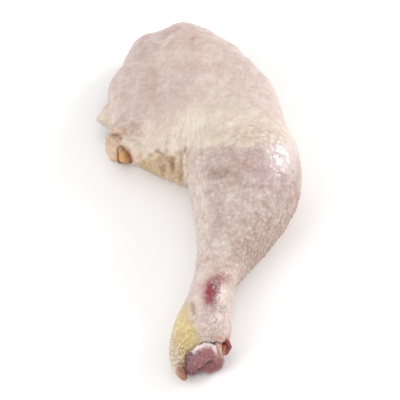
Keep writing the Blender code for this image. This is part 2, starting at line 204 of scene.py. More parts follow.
class SkinColours(bpy.types.PropertyGroup):
    thigh: colour_property("Thigh", "Greyish pink of the thigh's skin", srgb(220, 204, 197))
    cream: colour_property("Cream fat", "Cream skin over the thigh's fat", srgb(235, 226, 210))
    drumstick: colour_property("Drumstick", "Greyish mauve of the drumstick", srgb(222, 210, 205))
    purple: colour_property("Deep mauve", "Muscle showing through", srgb(201, 180, 175))
    lavender: colour_property("Lavender", "Bluish pink of thin skin", srgb(212, 193, 194))
    smudge: colour_property("Smudge", "Dark mauve smudges", srgb(170, 142, 137))
    pale: colour_property("Pale side", "Pale skin of the shin side", srgb(231, 223, 216))
    tan: colour_property("Calf side", "Tan pink of the lower calf", srgb(220, 202, 192))
    ankle: colour_property("Ankle", "Pale grey pink above the hock", srgb(233, 219, 213))
    flushed_pale: colour_property("Ankle edge", "Pale pink by the hock", srgb(242, 224, 217))
    yellow: colour_property("Shank yellow", "Scaly yellow shank skin", srgb(240, 224, 169))
    lime: colour_property("Bright yellow", "Brightest shank skin", srgb(232, 222, 152))
    orange: colour_property("Orange yellow", "Warm spots in the yellow", srgb(238, 208, 168))
    bruise: colour_property("Bruise", "Core of the bruise", srgb(162, 16, 42))
    clot: colour_property("Clot", "Darkest middle of the bruise", srgb(118, 30, 54))
    halo: colour_property("Bruise edge", "Pink round the bruise", srgb(179, 121, 123))
    wall: colour_property("Thigh wall", "Olive cream under the thigh", srgb(226, 207, 175))
    # A brown smudge colour that also serves as painted shade, below the wall's shoulder and along
    # a pleat.
    wall_dark: colour_property("Wall smudge", "Brown smudge on the wall", srgb(172, 146, 126))
    olive: colour_property("Olive", "Olive yellow fat on the wall", srgb(190, 172, 118))
    flap: colour_property("Folded corner", "Peach skin of the fold", srgb(227, 197, 167))
    # Brown skin inside the fold's pocket, partly painted shade of the recess.
    hollow: colour_property("Hollow", "Brown inside the fold", srgb(176, 132, 90))
    rim: colour_property("Free edge", "Thin skin at the hip", srgb(214, 191, 172))
    under: colour_property("Underside", "Skin that it lies on", srgb(222, 203, 188))
    cut: colour_property("Cut end", "Flesh at the end of the thick skin", srgb(186, 122, 118))
    # Reddish tan of the calf's edge, also laid on broadly as painted shade down the calf's right
    # flank.
    calf_edge: colour_property("Calf edge", "Reddish tan edge of the calf", srgb(184, 140, 126))
    # Brown that also serves as painted shade: in creases and folds, under the pleats' ends, along
    # the skin's edge by the knuckle and along the flap's hem on the floor.
    stain: colour_property("Stained edge", "Brown of the stained edges", srgb(164, 128, 100))
    rind: colour_property("Rind", "Orange brown cut edge of the skin", srgb(178, 122, 98))
    lip: colour_property("Cut lip", "Pale lip of the skin at the hock", srgb(236, 190, 172))
    flush: colour_property("Flush", "Small pink blotches", srgb(203, 152, 144))


class FleshColours(bpy.types.PropertyGroup):
    meat: colour_property("Meat", "Bare thigh meat", srgb(186, 122, 118))
    meat_dark: colour_property("Dark meat", "Between the muscles", srgb(140, 76, 76))
    meat_fat: colour_property("Fat on the meat", "Films of fat", srgb(230, 208, 186))
    knuckle: colour_property("Knuckle", "Cut face of the bone", srgb(160, 88, 88))
    knuckle_red: colour_property("Knuckle lobe", "Redder parts of the cut", srgb(140, 66, 66))
    knuckle_dark: colour_property("Knuckle cleft", "Blood in the cleft", srgb(92, 40, 42))
    knuckle_pale: colour_property("Knuckle side", "Purple pink lobe", srgb(172, 124, 134))
    gristle: colour_property("Gristle", "White rim of the knuckle", srgb(252, 243, 238))
    film: colour_property("Film", "Grey pink film on the bone", srgb(196, 168, 158))
    # Painted shade in the groove by the gristle.
    groove: colour_property("Groove", "Grey groove by the gristle", srgb(150, 132, 122))
    peach: colour_property("Peach ring", "Peach film by the tendon", srgb(222, 162, 128))
    tendon: colour_property("Tendon", "Red scrap", srgb(162, 24, 12))
    tendon_dark: colour_property("Dark tendon", "Blood on the scrap", srgb(104, 20, 20))
    tendon_pale: colour_property("Tendon edge", "Peach edge of the scrap", srgb(214, 150, 122))
    fat: colour_property("Fat", "Lump in the folded corner", srgb(220, 166, 102))
    # Painted shade: the fat's side that the fold shades, in brown.
    fat_dark: colour_property("Dark fat", "Brown side of the fat", srgb(150, 100, 60))
    # Painted shade: the fat's top under the fold.
    fat_grey: colour_property("Shaded fat", "Greyish top of the fat", srgb(200, 176, 146))


class StageSettings(bpy.types.PropertyGroup):
    floor: colour_property("Floor", "The plain floor", (0.93, 0.93, 0.93))
    sky: FloatProperty(name="Soft light", description="Light from all round", default=0.83)
    key: power_property("Key light", "The large lamp behind on the right", 4.6)
    fill: power_property("Fill light", "The lamp in front on the left", 3.2)
    top: power_property("Top light", "The lamp overhead", 0.4)


# Meshes


def merged_copy(node):
    """The CAD node's mesh with its loose triangles joined up and no materials."""
    bm = bmesh.new()
    bm.from_mesh(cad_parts[node].data)
    bmesh.ops.remove_doubles(bm, verts=bm.verts, dist=SAME_PLACE)
    mesh = bpy.data.meshes.new(node + " copy")
    bm.to_mesh(mesh)
    bm.free()
    return mesh


def new_piece(name, mesh):
    piece = bpy.data.objects.new(name, mesh)
    mesh.name = name
    bpy.context.scene.collection.objects.link(piece)
    return piece


def settle(piece):
    """Turns the piece's modifiers into its mesh."""
    graph = bpy.context.evaluated_depsgraph_get()
    mesh = bpy.data.meshes.new_from_object(piece.evaluated_get(graph))
    piece.modifiers.clear()
    old, piece.data = piece.data, mesh
    bpy.data.meshes.remove(old)
    mesh.name = piece.name


def refine(piece, voxel):
    """An even fine mesh in place of the solid's facets."""
    remesh = piece.modifiers.new("fine mesh", "REMESH")
    remesh.mode = "VOXEL"
    remesh.voxel_size = voxel
    settle(piece)


def smooth_where(piece, weights, times):
    """Smooths the mesh so many times, as strongly as each point's weight says."""
    group = piece.vertex_groups.new(name="smooth here")
    levels = np.round(weights, 1)
    for level in np.unique(levels[levels > 0]):
        group.add(np.flatnonzero(levels == level).tolist(), float(level), "REPLACE")
    smooth = piece.modifiers.new("smooth", "SMOOTH")
    smooth.iterations = times
    smooth.factor = 0.5
    smooth.vertex_group = group.name
    settle(piece)
    piece.vertex_groups.clear()


def store(mesh, name, values, kind="FLOAT", field="value"):
    """Keeps values for the mesh's points in an attribute that a material can read."""
    layer = mesh.attributes.new(name, kind, "POINT")
    layer.data.foreach_set(field, values.astype(np.float32).ravel())


def store_colour(mesh, colours):
    solid = np.concatenate([np.clip(colours, 0, 1), np.ones((len(colours), 1))], axis=1)
    store(mesh, "tint", solid, "FLOAT_COLOR", "color")


def finish_piece(piece, node, material):
    """Gives the piece its finish, puts it on the root body and hides the CAD node that it stands
    in for.
    """
    if material.name not in piece.data.materials:
        piece.data.materials.clear()
        piece.data.materials.append(material)
    piece.data.shade_smooth()
    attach(piece, "root")
    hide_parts(node)


# Bumps that follow a surface, as Geometry Nodes


CROWDING = 3.0  # points offered for each place, of which the spacing leaves some out
WHERE_GAIN = 2.0  # so that the bumps stay close together where they are low
WAVER_SIZE = 0.8  # how fine the unevenness of the bumps' outlines is, against the spacing
WAVER_REACH = 1.5  # how far it moves them, against the spacing
BUMP_SIZES = (0.55, 1.25)  # the smallest and the largest bump, against the given size


class Tree:
    """Adds and joins nodes in a node tree."""

    def __init__(self, tree):
        self.tree = tree

    def node(self, kind, values=None, **settings):
        node = self.tree.nodes.new(kind)
        for name, value in settings.items():
            setattr(node, name, value)
        for socket, value in (values or {}).items():
            if isinstance(value, bpy.types.NodeSocket):
                self.tree.links.new(value, node.inputs[socket])
            else:
                node.inputs[socket].default_value = value
        return node

    def math(self, operation, first, second=0.0, clamp=False):
        values = {0: first, 1: second}
        node = self.node("ShaderNodeMath", values, operation=operation, use_clamp=clamp)
        return node.outputs[0]


def bump_tree():
    """Uneven bumps scattered over a mesh wherever an attribute says, raised along the
    surface's normals, with how high each point stands stored in another attribute."""
    tree = bpy.data.node_groups.new("Scattered bumps", "GeometryNodeTree")
    sockets = tree.interface.new_socket
    sockets("Geometry", in_out="INPUT", socket_type="NodeSocketGeometry")
    for name in ("Spacing", "Radius", "Height"):
        sockets(name, in_out="INPUT", socket_type="NodeSocketFloat")
    for name in ("Where", "Result"):
        sockets(name, in_out="INPUT", socket_type="NodeSocketString")
    sockets("Seed", in_out="INPUT", socket_type="NodeSocketInt")
    sockets("Material", in_out="INPUT", socket_type="NodeSocketMaterial")
    sockets("Geometry", in_out="OUTPUT", socket_type="NodeSocketGeometry")

    t = Tree(tree)
    given = t.node("NodeGroupInput").outputs
    where = t.node("GeometryNodeInputNamedAttribute", {"Name": given["Where"]}).outputs[0]
    crowd = t.math("DIVIDE", 1.0, t.math("MULTIPLY", given["Spacing"], given["Spacing"]))
    scatter = t.node(
        "GeometryNodeDistributePointsOnFaces",
        {
            "Mesh": given["Geometry"],
            "Distance Min": given["Spacing"],
            "Density Max": t.math("MULTIPLY", crowd, CROWDING),
            "Density Factor": t.math("MULTIPLY", where, WHERE_GAIN, clamp=True),
            "Seed": given["Seed"],
        },
        distribute_method="POISSON",
    )
    waver = t.node(
        "ShaderNodeTexNoise",
        {"Scale": t.math("DIVIDE", WAVER_SIZE, given["Spacing"]), "Detail": 1.0},
    ).outputs["Color"]
    centred = t.node("ShaderNodeVectorMath", {0: waver, 1: (0.5, 0.5, 0.5)}, operation="SUBTRACT")
    astray = t.node(
        "ShaderNodeVectorMath",
        {0: centred.outputs[0], "Scale": t.math("MULTIPLY", given["Spacing"], WAVER_REACH)},
        operation="SCALE",
    )
    place = t.node("GeometryNodeInputPosition").outputs[0]
    uneven = t.node("ShaderNodeVectorMath", {0: place, 1: astray.outputs[0]}, operation="ADD")
    nearest = t.node(
        "GeometryNodeProximity",
        {0: scatter.outputs["Points"], "Sample Position": uneven.outputs[0]},
        target_element="POINTS",
    )
    which = t.node(
        "GeometryNodeSampleNearest",
        {0: scatter.outputs["Points"], "Sample Position": uneven.outputs[0]},
        domain="POINT",
    )
    chance = t.node(
        "FunctionNodeRandomValue",
        {2: BUMP_SIZES[0], 3: BUMP_SIZES[1], "Seed": given["Seed"]},
        data_type="FLOAT",
    )
    size = t.node(
        "GeometryNodeSampleIndex",
        {0: scatter.outputs["Points"], 1: chance.outputs[1], 2: which.outputs[0]},
        data_type="FLOAT",
        domain="POINT",
    ).outputs[0]
    spread = t.math("MULTIPLY", given["Radius"], t.math("POWER", size, 0.5))
    share = t.math("DIVIDE", nearest.outputs["Distance"], spread)
    dome = t.node(
        "ShaderNodeMapRange",
        {"Value": share, "From Min": 0.0, "From Max": 1.0, "To Min": 1.0, "To Max": 0.0},
        interpolation_type="SMOOTHSTEP",
    ).outputs[0]
    raised = t.math("MULTIPLY", dome, t.math("MULTIPLY", size, where))
    outward = t.node("GeometryNodeInputNormal").outputs[0]
    lift = t.node(
        "ShaderNodeVectorMath",
        {0: outward, "Scale": t.math("MULTIPLY", raised, given["Height"])},
        operation="SCALE",
    )
    moved = t.node(
        "GeometryNodeSetPosition", {"Geometry": given["Geometry"], "Offset": lift.outputs[0]}
    )
    kept = t.node(
        "GeometryNodeStoreNamedAttribute",
        {"Geometry": moved.outputs[0], "Name": given["Result"], "Value": raised},
        data_type="FLOAT",
        domain="POINT",
    )
    real = t.node("GeometryNodeRealizeInstances", {0: kept.outputs[0]})
    finished = t.node(
        "GeometryNodeSetMaterial",
        {"Geometry": real.outputs[0], "Material": given["Material"]},
    )
    t.node("NodeGroupOutput", {0: finished.outputs[0]})
    return tree


def scatter_bumps(piece, tree, **inputs):
    """Raises the bumps on the piece, with the tree's inputs given by name."""
    modifier = piece.modifiers.new("bumps", "NODES")
    modifier.node_group = tree
    for item in tree.interface.items_tree:
        if item.in_out == "INPUT" and item.name in inputs:
            modifier[item.identifier] = inputs[item.name]
    settle(piece)


# Materials


# A moist finish: how rough and how shiny it is, how much light goes in and how deep, and how
# strong and how rough the wet coat on it is.
Finish = namedtuple("Finish", "roughness shine inner depth coat coat_roughness")
SKIN_FINISH = Finish(0.40, 0.5, 0.25, 4.0, 1.0, 0.19)
MEAT_FINISH = Finish(0.36, 0.5, 0.25, 3.0, 0.3, 0.15)
BONE_FINISH = Finish(0.30, 0.5, 0.15, 1.5, 0.6, 0.12)
LUMP_FINISH = Finish(0.42, 0.4, 0.15, 2.0, 0.2, 0.15)
LIGHT_REACH = (1.0, 0.45, 0.3)  # red light goes further into flesh than green and blue
COAT_BUMP = 0.08  # share of the relief that also breaks up the wet gloss


def flesh_material(name, paint, finish, wet=None):
    """A moist, slightly translucent material. `paint` wires up its colour and its relief, and
    `wet` names an attribute that gives the coat's strength instead of the finish."""
    material = bpy.data.materials.new(name)
    material.use_nodes = True
    t = Tree(material.node_tree)
    shader = material.node_tree.nodes["Principled BSDF"]
    for socket, value in (
        ("Roughness", finish.roughness),
        ("Specular IOR Level", finish.shine),
        ("Subsurface Weight", finish.inner),
        ("Subsurface Scale", finish.depth * MM),
        ("Subsurface Radius", LIGHT_REACH),
        ("Coat Weight", finish.coat),
        ("Coat Roughness", finish.coat_roughness),
    ):
        shader.inputs[socket].default_value = value
    if wet:
        t.tree.links.new(attribute(t, wet), shader.inputs["Coat Weight"])
    colour, height, depth = paint(t)
    t.tree.links.new(colour, shader.inputs["Base Color"])
    for socket, strength in (("Normal", 1.0), ("Coat Normal", COAT_BUMP)):
        values = {"Height": height, "Distance": depth * MM, "Strength": strength}
        bump = t.node("ShaderNodeBump", values)
        t.tree.links.new(bump.outputs[0], shader.inputs[socket])
    return material


def object_noise(t, size, detail=3.0, stretch=(1, 1, 1), distortion=0.0):
    """Noise in the part's own space whose blobs are about `size` millimetres."""
    place = t.node("ShaderNodeTexCoord").outputs["Object"]
    turned = t.node("ShaderNodeMapping", {"Vector": place, "Scale": stretch})
    values = {
        "Vector": turned.outputs[0],
        "Scale": 1 / (size * MM),
        "Detail": detail,
        "Distortion": distortion,
    }
    return t.node("ShaderNodeTexNoise", values).outputs["Fac"]


def attribute(t, name, output="Fac"):
    return t.node("ShaderNodeAttribute", attribute_name=name).outputs[output]


def mix_colour(t, share, first, second, blend="MIX"):
    node = t.node("ShaderNodeMix", data_type="RGBA", blend_type=blend)
    for index, value in ((0, share), (6, first), (7, second)):
        if isinstance(value, bpy.types.NodeSocket):
            t.tree.links.new(value, node.inputs[index])
        else:
            node.inputs[index].default_value = value
    return node.outputs[2]


def stretched(t, value, low, high):
    """The part of `value` between low and high, as 0 to 1."""
    values = {"Value": value, "From Min": low, "From Max": high}
    return t.node("ShaderNodeMapRange", values).outputs[0]


def ridges(t, noise, width):
    """Thin lines, 1 along them, where a noise crosses its middle value."""
    away = t.math("ABSOLUTE", t.math("SUBTRACT", noise, 0.5))
    return t.math("SUBTRACT", 1.0, t.math("DIVIDE", away, width, clamp=True))


def fan_noise(t, size):
    """Noise drawn out along the pleats, which a vector attribute follows."""
    place = attribute(t, "fan", "Vector")
    values = {"Vector": place, "Scale": 1 / size, "Detail": 3.0}
    return t.node("ShaderNodeTexNoise", values).outputs["Fac"]


# Marks made by a noise: its size in millimetres, detail and distortion, the values between
# which the marks come in, how strong they are, and the colour that they bring.
Marks = namedtuple("Marks", "size detail distortion low high strength shade")
SKIN_BROAD = Marks(9.0, 1.0, 0.0, 0.38, 0.62, 0.4, (0.82, 0.76, 0.72, 1))
SKIN_CLOUD = Marks(4.2, 2.0, 0.0, 0.38, 0.62, 1.0, (0.77, 0.70, 0.66, 1))
SKIN_PATCHY = Marks(1.9, 2.0, 0.6, 0.38, 0.62, 1.0, (0.76, 0.67, 0.64, 1))
SKIN_FINE = Marks(0.8, 3.0, 0.0, 0.35, 0.65, 0.24, (0.80, 0.74, 0.71, 1))
SKIN_SPECKS = Marks(1.0, 2.0, 0.0, 0.54, 0.62, 1.0, (0.52, 0.42, 0.34, 1))
SKIN_BLOOD = Marks(0.9, 2.0, 0.0, 0.50, 0.62, 1.0, (0.52, 0.30, 0.36, 1))
# Pale flecks over the bruise: painted highlights that stand in for its wet glints.
SKIN_PAINTED_GLINTS = Marks(1.1, 1.0, 0.5, 0.50, 0.58, 1.0, (0.94, 0.80, 0.79, 1))
MEAT_BLOTCH = Marks(7.0, 3.0, 0.0, 0.35, 0.70, 0.35, (0.80, 0.60, 0.60, 1))
BONE_GRAIN = Marks(1.0, 4.0, 0.8, 0.38, 0.62, 0.75, (0.56, 0.42, 0.44, 1))
BONE_FLECKS = Marks(1.3, 2.0, 0.0, 0.58, 0.68, 0.22, (0.80, 0.66, 0.66, 1))
LUMP_CLOUD = Marks(2.2, 3.0, 0.0, 0.30, 0.70, 0.4, (0.72, 0.58, 0.50, 1))
VALLEY_SHADE = (0.74, 0.63, 0.60, 1)
# Painted shade: these darken the wrinkles, the pleats' troughs and the gaps between scales.
CREASE_SHADE = (0.74, 0.62, 0.55, 1)
GAP_SHADE = (0.70, 0.62, 0.48, 1)
FIBRE_SHADE = (0.62, 0.45, 0.45, 1)

# Gains with a start: marks that are stronger on goose bumps and fainter on pleats.
CLOUD_ON_BUMPS = (0.5, 0.2)
PATCHES_ON_BUMPS = (0.34, 0.04)
EVEN_ON_PLEATS = (-0.7, 1.0)
VALLEY_SLOPE, VALLEY_STRENGTH = 1.7, 0.5  # between goose bumps
GAP_SLOPE, GAP_STRENGTH = 1.8, 0.8  # between scales
WRINKLE_SIZE, WRINKLE_WIDTH = 2.8, 0.07
PLEAT_SIZE, PLEAT_STRENGTH = 1.2, 0.85
PLEAT_TROUGHS = (0.34, 0.58)
CREASE_STRENGTH = 0.5

# How far the finest marks stand out, in the material's relief.
SKIN_DEPTH = 0.42
GRAIN_HEIGHT, PATCH_HEIGHT, CREASE_HEIGHT, FLECK_HEIGHT = 0.7, 1.6, 0.9, 5.0
MEAT_DEPTH, BONE_DEPTH, LUMP_DEPTH = 0.5, 0.8, 0.25

# Noises for that relief: their size, detail, stretch and distortion.
SKIN_GRAIN, BONE_RELIEF, LUMP_RELIEF = (0.6, 2.0), (0.9, 3.0), (0.8, 3.0)
MEAT_FIBRE = (1.0, 4.0, (1.0, 0.22, 1.0), 0.4)
FIBRE_EDGE, FIBRE_STRENGTH = (0.35, 0.68), 0.55


def marks_noise(t, marks):
    return object_noise(t, marks.size, marks.detail, distortion=marks.distortion)


def marks_share(t, marks, where=None):
    """How strong the marks are, and only where an attribute or a value says."""
    field = stretched(t, marks_noise(t, marks), marks.low, marks.high)
    share = t.math("MULTIPLY", field, marks.strength)
    return share if where is None else t.math("MULTIPLY", share, where)


def darkened(t, share, colour, shade):
    return mix_colour(t, share, colour, shade, "MULTIPLY")


def marked(t, colour, marks, where=None):
    return darkened(t, marks_share(t, marks, where), colour, marks.shade)


def low_ground(t, bumps, slope):
    """1 between the bumps of an attribute, 0 on them."""
    return t.math("SUBTRACT", 1.0, t.math("MULTIPLY", attribute(t, bumps), slope, clamp=True))


def product(t, *factors):
    result = factors[0]
    for factor in factors[1:]:
        result = t.math("MULTIPLY", result, factor)
    return result


def sloped(t, value, gain, start):
    return t.math("ADD", t.math("MULTIPLY", value, gain), start)


def skin_mottling(t, colour, even):
    """Paler goose bumps with darker valleys, under broad, middling and fine blotches."""
    goose = attribute(t, "goose")
    colour = marked(t, colour, SKIN_BROAD)
    cloudy = product(t, sloped(t, goose, *CLOUD_ON_BUMPS), even)
    colour = marked(t, colour, SKIN_CLOUD, cloudy)
    colour = marked(t, colour, SKIN_PATCHY, sloped(t, goose, *PATCHES_ON_BUMPS))
    colour = marked(t, colour, SKIN_FINE)
    valley = product(t, low_ground(t, "follicle", VALLEY_SLOPE), goose, VALLEY_STRENGTH)
    return darkened(t, valley, colour, VALLEY_SHADE)


def skin_creases(t):
    """Thin lines where the skin is wrinkled, and the troughs along the pleats: painted darker as
    shade, and lowered in the relief.
    """
    folds = ridges(t, object_noise(t, WRINKLE_SIZE, 2.0, distortion=0.5), WRINKLE_WIDTH)
    wrinkled = product(t, folds, attribute(t, "wrinkled"))
    troughs = t.math("SUBTRACT", 1.0, stretched(t, fan_noise(t, PLEAT_SIZE), *PLEAT_TROUGHS))
    pleated = product(t, troughs, attribute(t, "pleated"), PLEAT_STRENGTH)
    return t.math("MAXIMUM", wrinkled, pleated)


def skin_paint(t):
    """Mottled and creased skin, with painted shade in its creases and in the gaps between its
    scales, specks over them, and blood and pale flecks over the bruise; the flecks are painted
    highlights that stand in for wet glints."""
    even = sloped(t, attribute(t, "pleated"), *EVEN_ON_PLEATS)
    colour = skin_mottling(t, attribute(t, "tint", "Color"), even)
    creases = skin_creases(t)
    # Painted shade in the creases and between the scales.
    colour = darkened(t, product(t, creases, CREASE_STRENGTH), colour, CREASE_SHADE)
    gaps = product(t, low_ground(t, "scale", GAP_SLOPE), attribute(t, "scaly"), GAP_STRENGTH)
    colour = darkened(t, gaps, colour, GAP_SHADE)
    colour = marked(t, colour, SKIN_SPECKS, attribute(t, "specked"))
    colour = marked(t, colour, SKIN_BLOOD, attribute(t, "bled"))
    # Pale flecks painted over the bruise as its wet glints, also raised in the relief.
    flecks = marks_share(t, SKIN_PAINTED_GLINTS, attribute(t, "torn"))
    colour = mix_colour(t, flecks, colour, SKIN_PAINTED_GLINTS.shade)

    grain = product(t, object_noise(t, *SKIN_GRAIN), GRAIN_HEIGHT)
    patches = product(t, marks_noise(t, SKIN_PATCHY), even, PATCH_HEIGHT)
    height = t.math("ADD", grain, patches)
    height = t.math("SUBTRACT", height, product(t, creases, CREASE_HEIGHT))
    height = t.math("ADD", height, product(t, flecks, FLECK_HEIGHT))
    return colour, height, SKIN_DEPTH


def meat_paint(t):
    """Raw muscle: its fibres run from hock to hip."""
    fibre = object_noise(t, *MEAT_FIBRE)
    share = product(t, stretched(t, fibre, *FIBRE_EDGE), FIBRE_STRENGTH)
    colour = darkened(t, share, attribute(t, "tint", "Color"), FIBRE_SHADE)
    return marked(t, colour, MEAT_BLOTCH), fibre, MEAT_DEPTH


def knuckle_paint(t):
    """Spongy bone cut across, with pale flecks."""
    colour = marked(t, attribute(t, "tint", "Color"), BONE_GRAIN)
    colour = mix_colour(t, marks_share(t, BONE_FLECKS), colour, BONE_FLECKS.shade)
    return colour, object_noise(t, *BONE_RELIEF), BONE_DEPTH


def lump_paint(t):
    """Soft scraps, a little cloudy."""
    colour = marked(t, attribute(t, "tint", "Color"), LUMP_CLOUD)
    return colour, object_noise(t, *LUMP_RELIEF), LUMP_DEPTH


# The skin. Its places are as the camera sees them unless a comment says otherwise.

# Stretches of the part's own length, height or width, in its own frame.
SLEEVE_END = (-106, -98)  # the end of the thin sleeve round the knuckle, which isn't smoothed
SLEEVE_TOP = (-90, -78)  # where the sleeve goes over into the thick skin
THICK_HEIGHTS = (11, 18)  # where the thigh's skin is well above its thin free edge
DRUMSTICK_END, DRUMSTICK_FADE = 25, 10  # the drumstick's skin is thick down to its rest
REST_HEIGHTS = (0.5, 4)
RELIEF_HEIGHTS = (0.4, 3)
OFF_REST_HEIGHTS = (1, 4)
BUMP_HEIGHTS = (1.5, 5)
THIGH_START = (8, 24)  # along the leg, where the drumstick goes over into the thigh
THIGH_SLANT = 0.15
SHANK_BARE = (55, 70)  # from the middle towards the hock, where the goose bumps get lower
HIP_HEIGHTS = (9, 17)  # the free edge of the skin is below these
HIP_START = (35, 50)
FIRST_SMOOTHING = 8  # times, everywhere but at the sleeve's end
SKIN_SMOOTHING = 45  # times more, mostly over the thick skin

PLEAT_ROOT = (2, 70)
PLEAT_STEP = 44  # millimetres across the pleats for each radian round their root
PLEAT_DRAWN = (0.14, 0.05)  # the scale of their noise along them and upright, against across
SHOULDER = (
    (-29.5, 18.9), (-26.6, 19.6), (-23.8, 21.4), (-22, 23.5), (-19.6, 24.5),
    (-16.8, 22.4), (-13.3, 21.7), (-10.5, 23.1), (-7.7, 24.5),
)  # where the thigh's top turns down into its front wall
HIP_STREAK = ((-18.8, 73.4), (-13.6, 79.2))
KNEE_MARK = ((5.9, 14), (10.2, 11.6), (14.7, 13.8))
CALF_EDGE = ((48, 2), (46.5, -8), (39.5, -21), (28, -33), (20, -41))
FLAP_HEM = ((-44.6, 19.2), (-39, 18.4), (-31.9, 17))
CORNER_CREASE = ((-42.4, 31.4), (-39.8, 31.2), (-38, 29.8))
CREAM_TOP = ((-46, 30), (-32, 35), (-20, 40), (-7, 46), (5, 50), (17, 49), (29, 46), (44, 38))

# Patches of colour: the colour, how strong it is, and an ellipse's centre, radii, turn and
# blur. The colour is one of the settings, by name.
Patch = namedtuple("Patch", "colour strength centre radii turn blur")
THIGH_PATCHES = (
    Patch("purple", 0.25, (-26, 72), (21, 9), 25, 0.8),
    Patch("purple", 0.42, (-20, 52), (15, 10), 20, 0.8),
    Patch("tan", 0.4, (3, 62), (9, 17), 30, 0.7),
    Patch("pale", 0.45, (4, 54), (20, 8), -12, 0.7),
    Patch("pale", 0.25, (34, 46), (12, 9), -45, 0.7),
    Patch("lavender", 0.5, (-36.7, 41), (5, 3.4), 20, 0.7),
    Patch("cream", 0.4, (-14, 68), (7, 6), 0, 0.8),
    Patch("lavender", 0.45, (-6.7, 60), (8, 6), 20, 0.8),
    Patch("flush", 0.5, (-13, 81.4), (4.4, 2), 12, 0.8),
    Patch("flush", 0.42, (-28, 77), (5, 1.7), 40, 0.8),
    Patch("flush", 0.3, (-4, 77.5), (2.4, 5), 10, 0.8),
    Patch("bruise", 0.5, (-4.2, 78.6), (1.3, 1), 0, 0.7),
)
DRUMSTICK_PATCHES = (
    Patch("pale", 0.9, (-5, 2), (7, 34), 0, 0.45),
    Patch("pale", 1.0, (0, -21), (5, 13), -12, 0.5),
    Patch("purple", 0.62, (19, 17), (17, 9), 4, 0.6),
    Patch("lavender", 0.8, (35, 11), (9, 13), 0, 0.6),
    Patch("smudge", 0.5, (11.2, 12.6), (6.4, 2.6), 4, 0.7),
    Patch("smudge", 0.15, (28, 18), (6, 6), 0, 0.8),
    Patch("flush", 0.18, (22.5, 15.4), (6.5, 1.5), 4, 0.8),
    Patch("smudge", 0.3, (8.4, -5), (3.5, 9), 0, 0.8),
    Patch("pale", 0.45, (13, -12), (2.6, 17), -8, 0.8),
    Patch("pale", 0.4, (32, -3), (6, 6), 0, 0.8),
    Patch("tan", 0.7, (30, -24), (14, 13), -40, 0.7),
    Patch("tan", 0.2, (40, -8), (9, 12), -10, 0.7),
    Patch("ankle", 0.95, (6, -52), (20, 24), 0, 0.35),
    Patch("smudge", 0.3, (-6.5, -49), (3, 8), -20, 0.8),
    Patch("smudge", 0.2, (3, -33), (6, 3), 0, 0.8),
    Patch("smudge", 0.15, (13, -54), (2.6, 6), 0, 0.8),
    Patch("lavender", 0.35, (4.2, -60), (5, 7), 0, 0.7),
    Patch("flushed_pale", 0.7, (11.6, -57), (3.4, 12), 4, 0.6),
)
BRUISE_PATCHES = (
    Patch("halo", 0.8, (4.9, -45), (4.2, 6.8), 8, 0.6),
    Patch("halo", 0.9, (9.2, -38.6), (4.6, 3), 20, 0.6),
    Patch("halo", 0.5, (8.6, -43.4), (2.2, 4), 8, 0.7),
    Patch("bruise", 1.0, (5.4, -44.6), (2.5, 4.8), 10, 0.6),
    Patch("clot", 0.8, (5.9, -44), (1.2, 3.2), 8, 0.7),
    Patch("bruise", 0.7, (3.4, -48.8), (1.2, 1.5), 0, 0.7),
)
SHANK_PATCHES = (
    Patch("cream", 0.8, (-11.5, -74), (7, 16), 8, 0.5),
    Patch("yellow", 0.9, (-8.8, -63), (8, 14), 14, 0.6),
    Patch("cream", 0.85, (-13.4, -69.9), (2.6, 8), 10, 0.7),
    Patch("lime", 0.65, (-4.6, -66.4), (4, 4), 0, 0.7),
    Patch("orange", 0.6, (-6.8, -55.6), (2.0, 3.4), 20, 0.7),
    Patch("orange", 0.55, (-9.4, -66.4), (2.4, 2.4), 0, 0.8),
    Patch("ankle", 0.7, (-2.4, -57.4), (3, 4.6), 10, 0.6),
    # Brown, and painted shade in the crease here.
    Patch("stain", 0.6, (-3.2, -52.4), (1.1, 3.2), 10, 0.6),
    Patch("flush", 0.7, (13.4, -66), (1.7, 1.6), 0, 0.7),
    Patch("rind", 0.95, (-8.8, -84.4), (2.8, 5.6), -8, 0.5),
    # Brown, and painted shade, along the skin's edge by the knuckle.
    Patch("stain", 0.5, (-4.4, -71.8), (3.4, 1.1), 38, 0.7),
    Patch("stain", 0.6, (-7.4, -75.6), (3, 1.0), 52, 0.7),
    Patch("flushed_pale", 0.8, (4, -65.6), (6.5, 2), 4, 0.7),
    Patch("cream", 0.45, (5.4, -64.5), (5, 1.6), 4, 0.7),
    Patch("lip", 0.7, (9.8, -66.6), (4.6, 1.0), -4, 0.7),
)
WALL_PATCHES = (
    Patch("wall", 0.95, (-18, 14), (24, 16), 0, 0.3),
    Patch("olive", 0.6, (-18.6, 19.8), (2.8, 1.2), 0, 0.8),
    Patch("olive", 0.8, (-18.3, 13.3), (2.6, 1.8), -30, 0.8),
    Patch("olive", 0.7, (-25.3, 16.6), (5, 1.9), -25, 0.7),
    # Painted shade with a brown cast: below the wall's shoulder, and down three of its pressed
    # folds.
    Patch("wall_dark", 0.45, (-14, 19.8), (7, 2.6), 0, 0.8),
    Patch("stain", 0.7, (-17.6, 16), (1.9, 1.9), 0, 0.7),
    Patch("stain", 0.85, (-13.4, 17), (1.3, 3.2), 0, 0.6),
    Patch("stain", 0.45, (-8.7, 15.2), (0.7, 6), 0, 0.6),
    Patch("cream", 0.9, (-6.9, 15.5), (1.2, 7), 0, 0.6),
    Patch("cream", 0.4, (-9.8, 19.4), (1.8, 4.5), 0, 0.7),
)
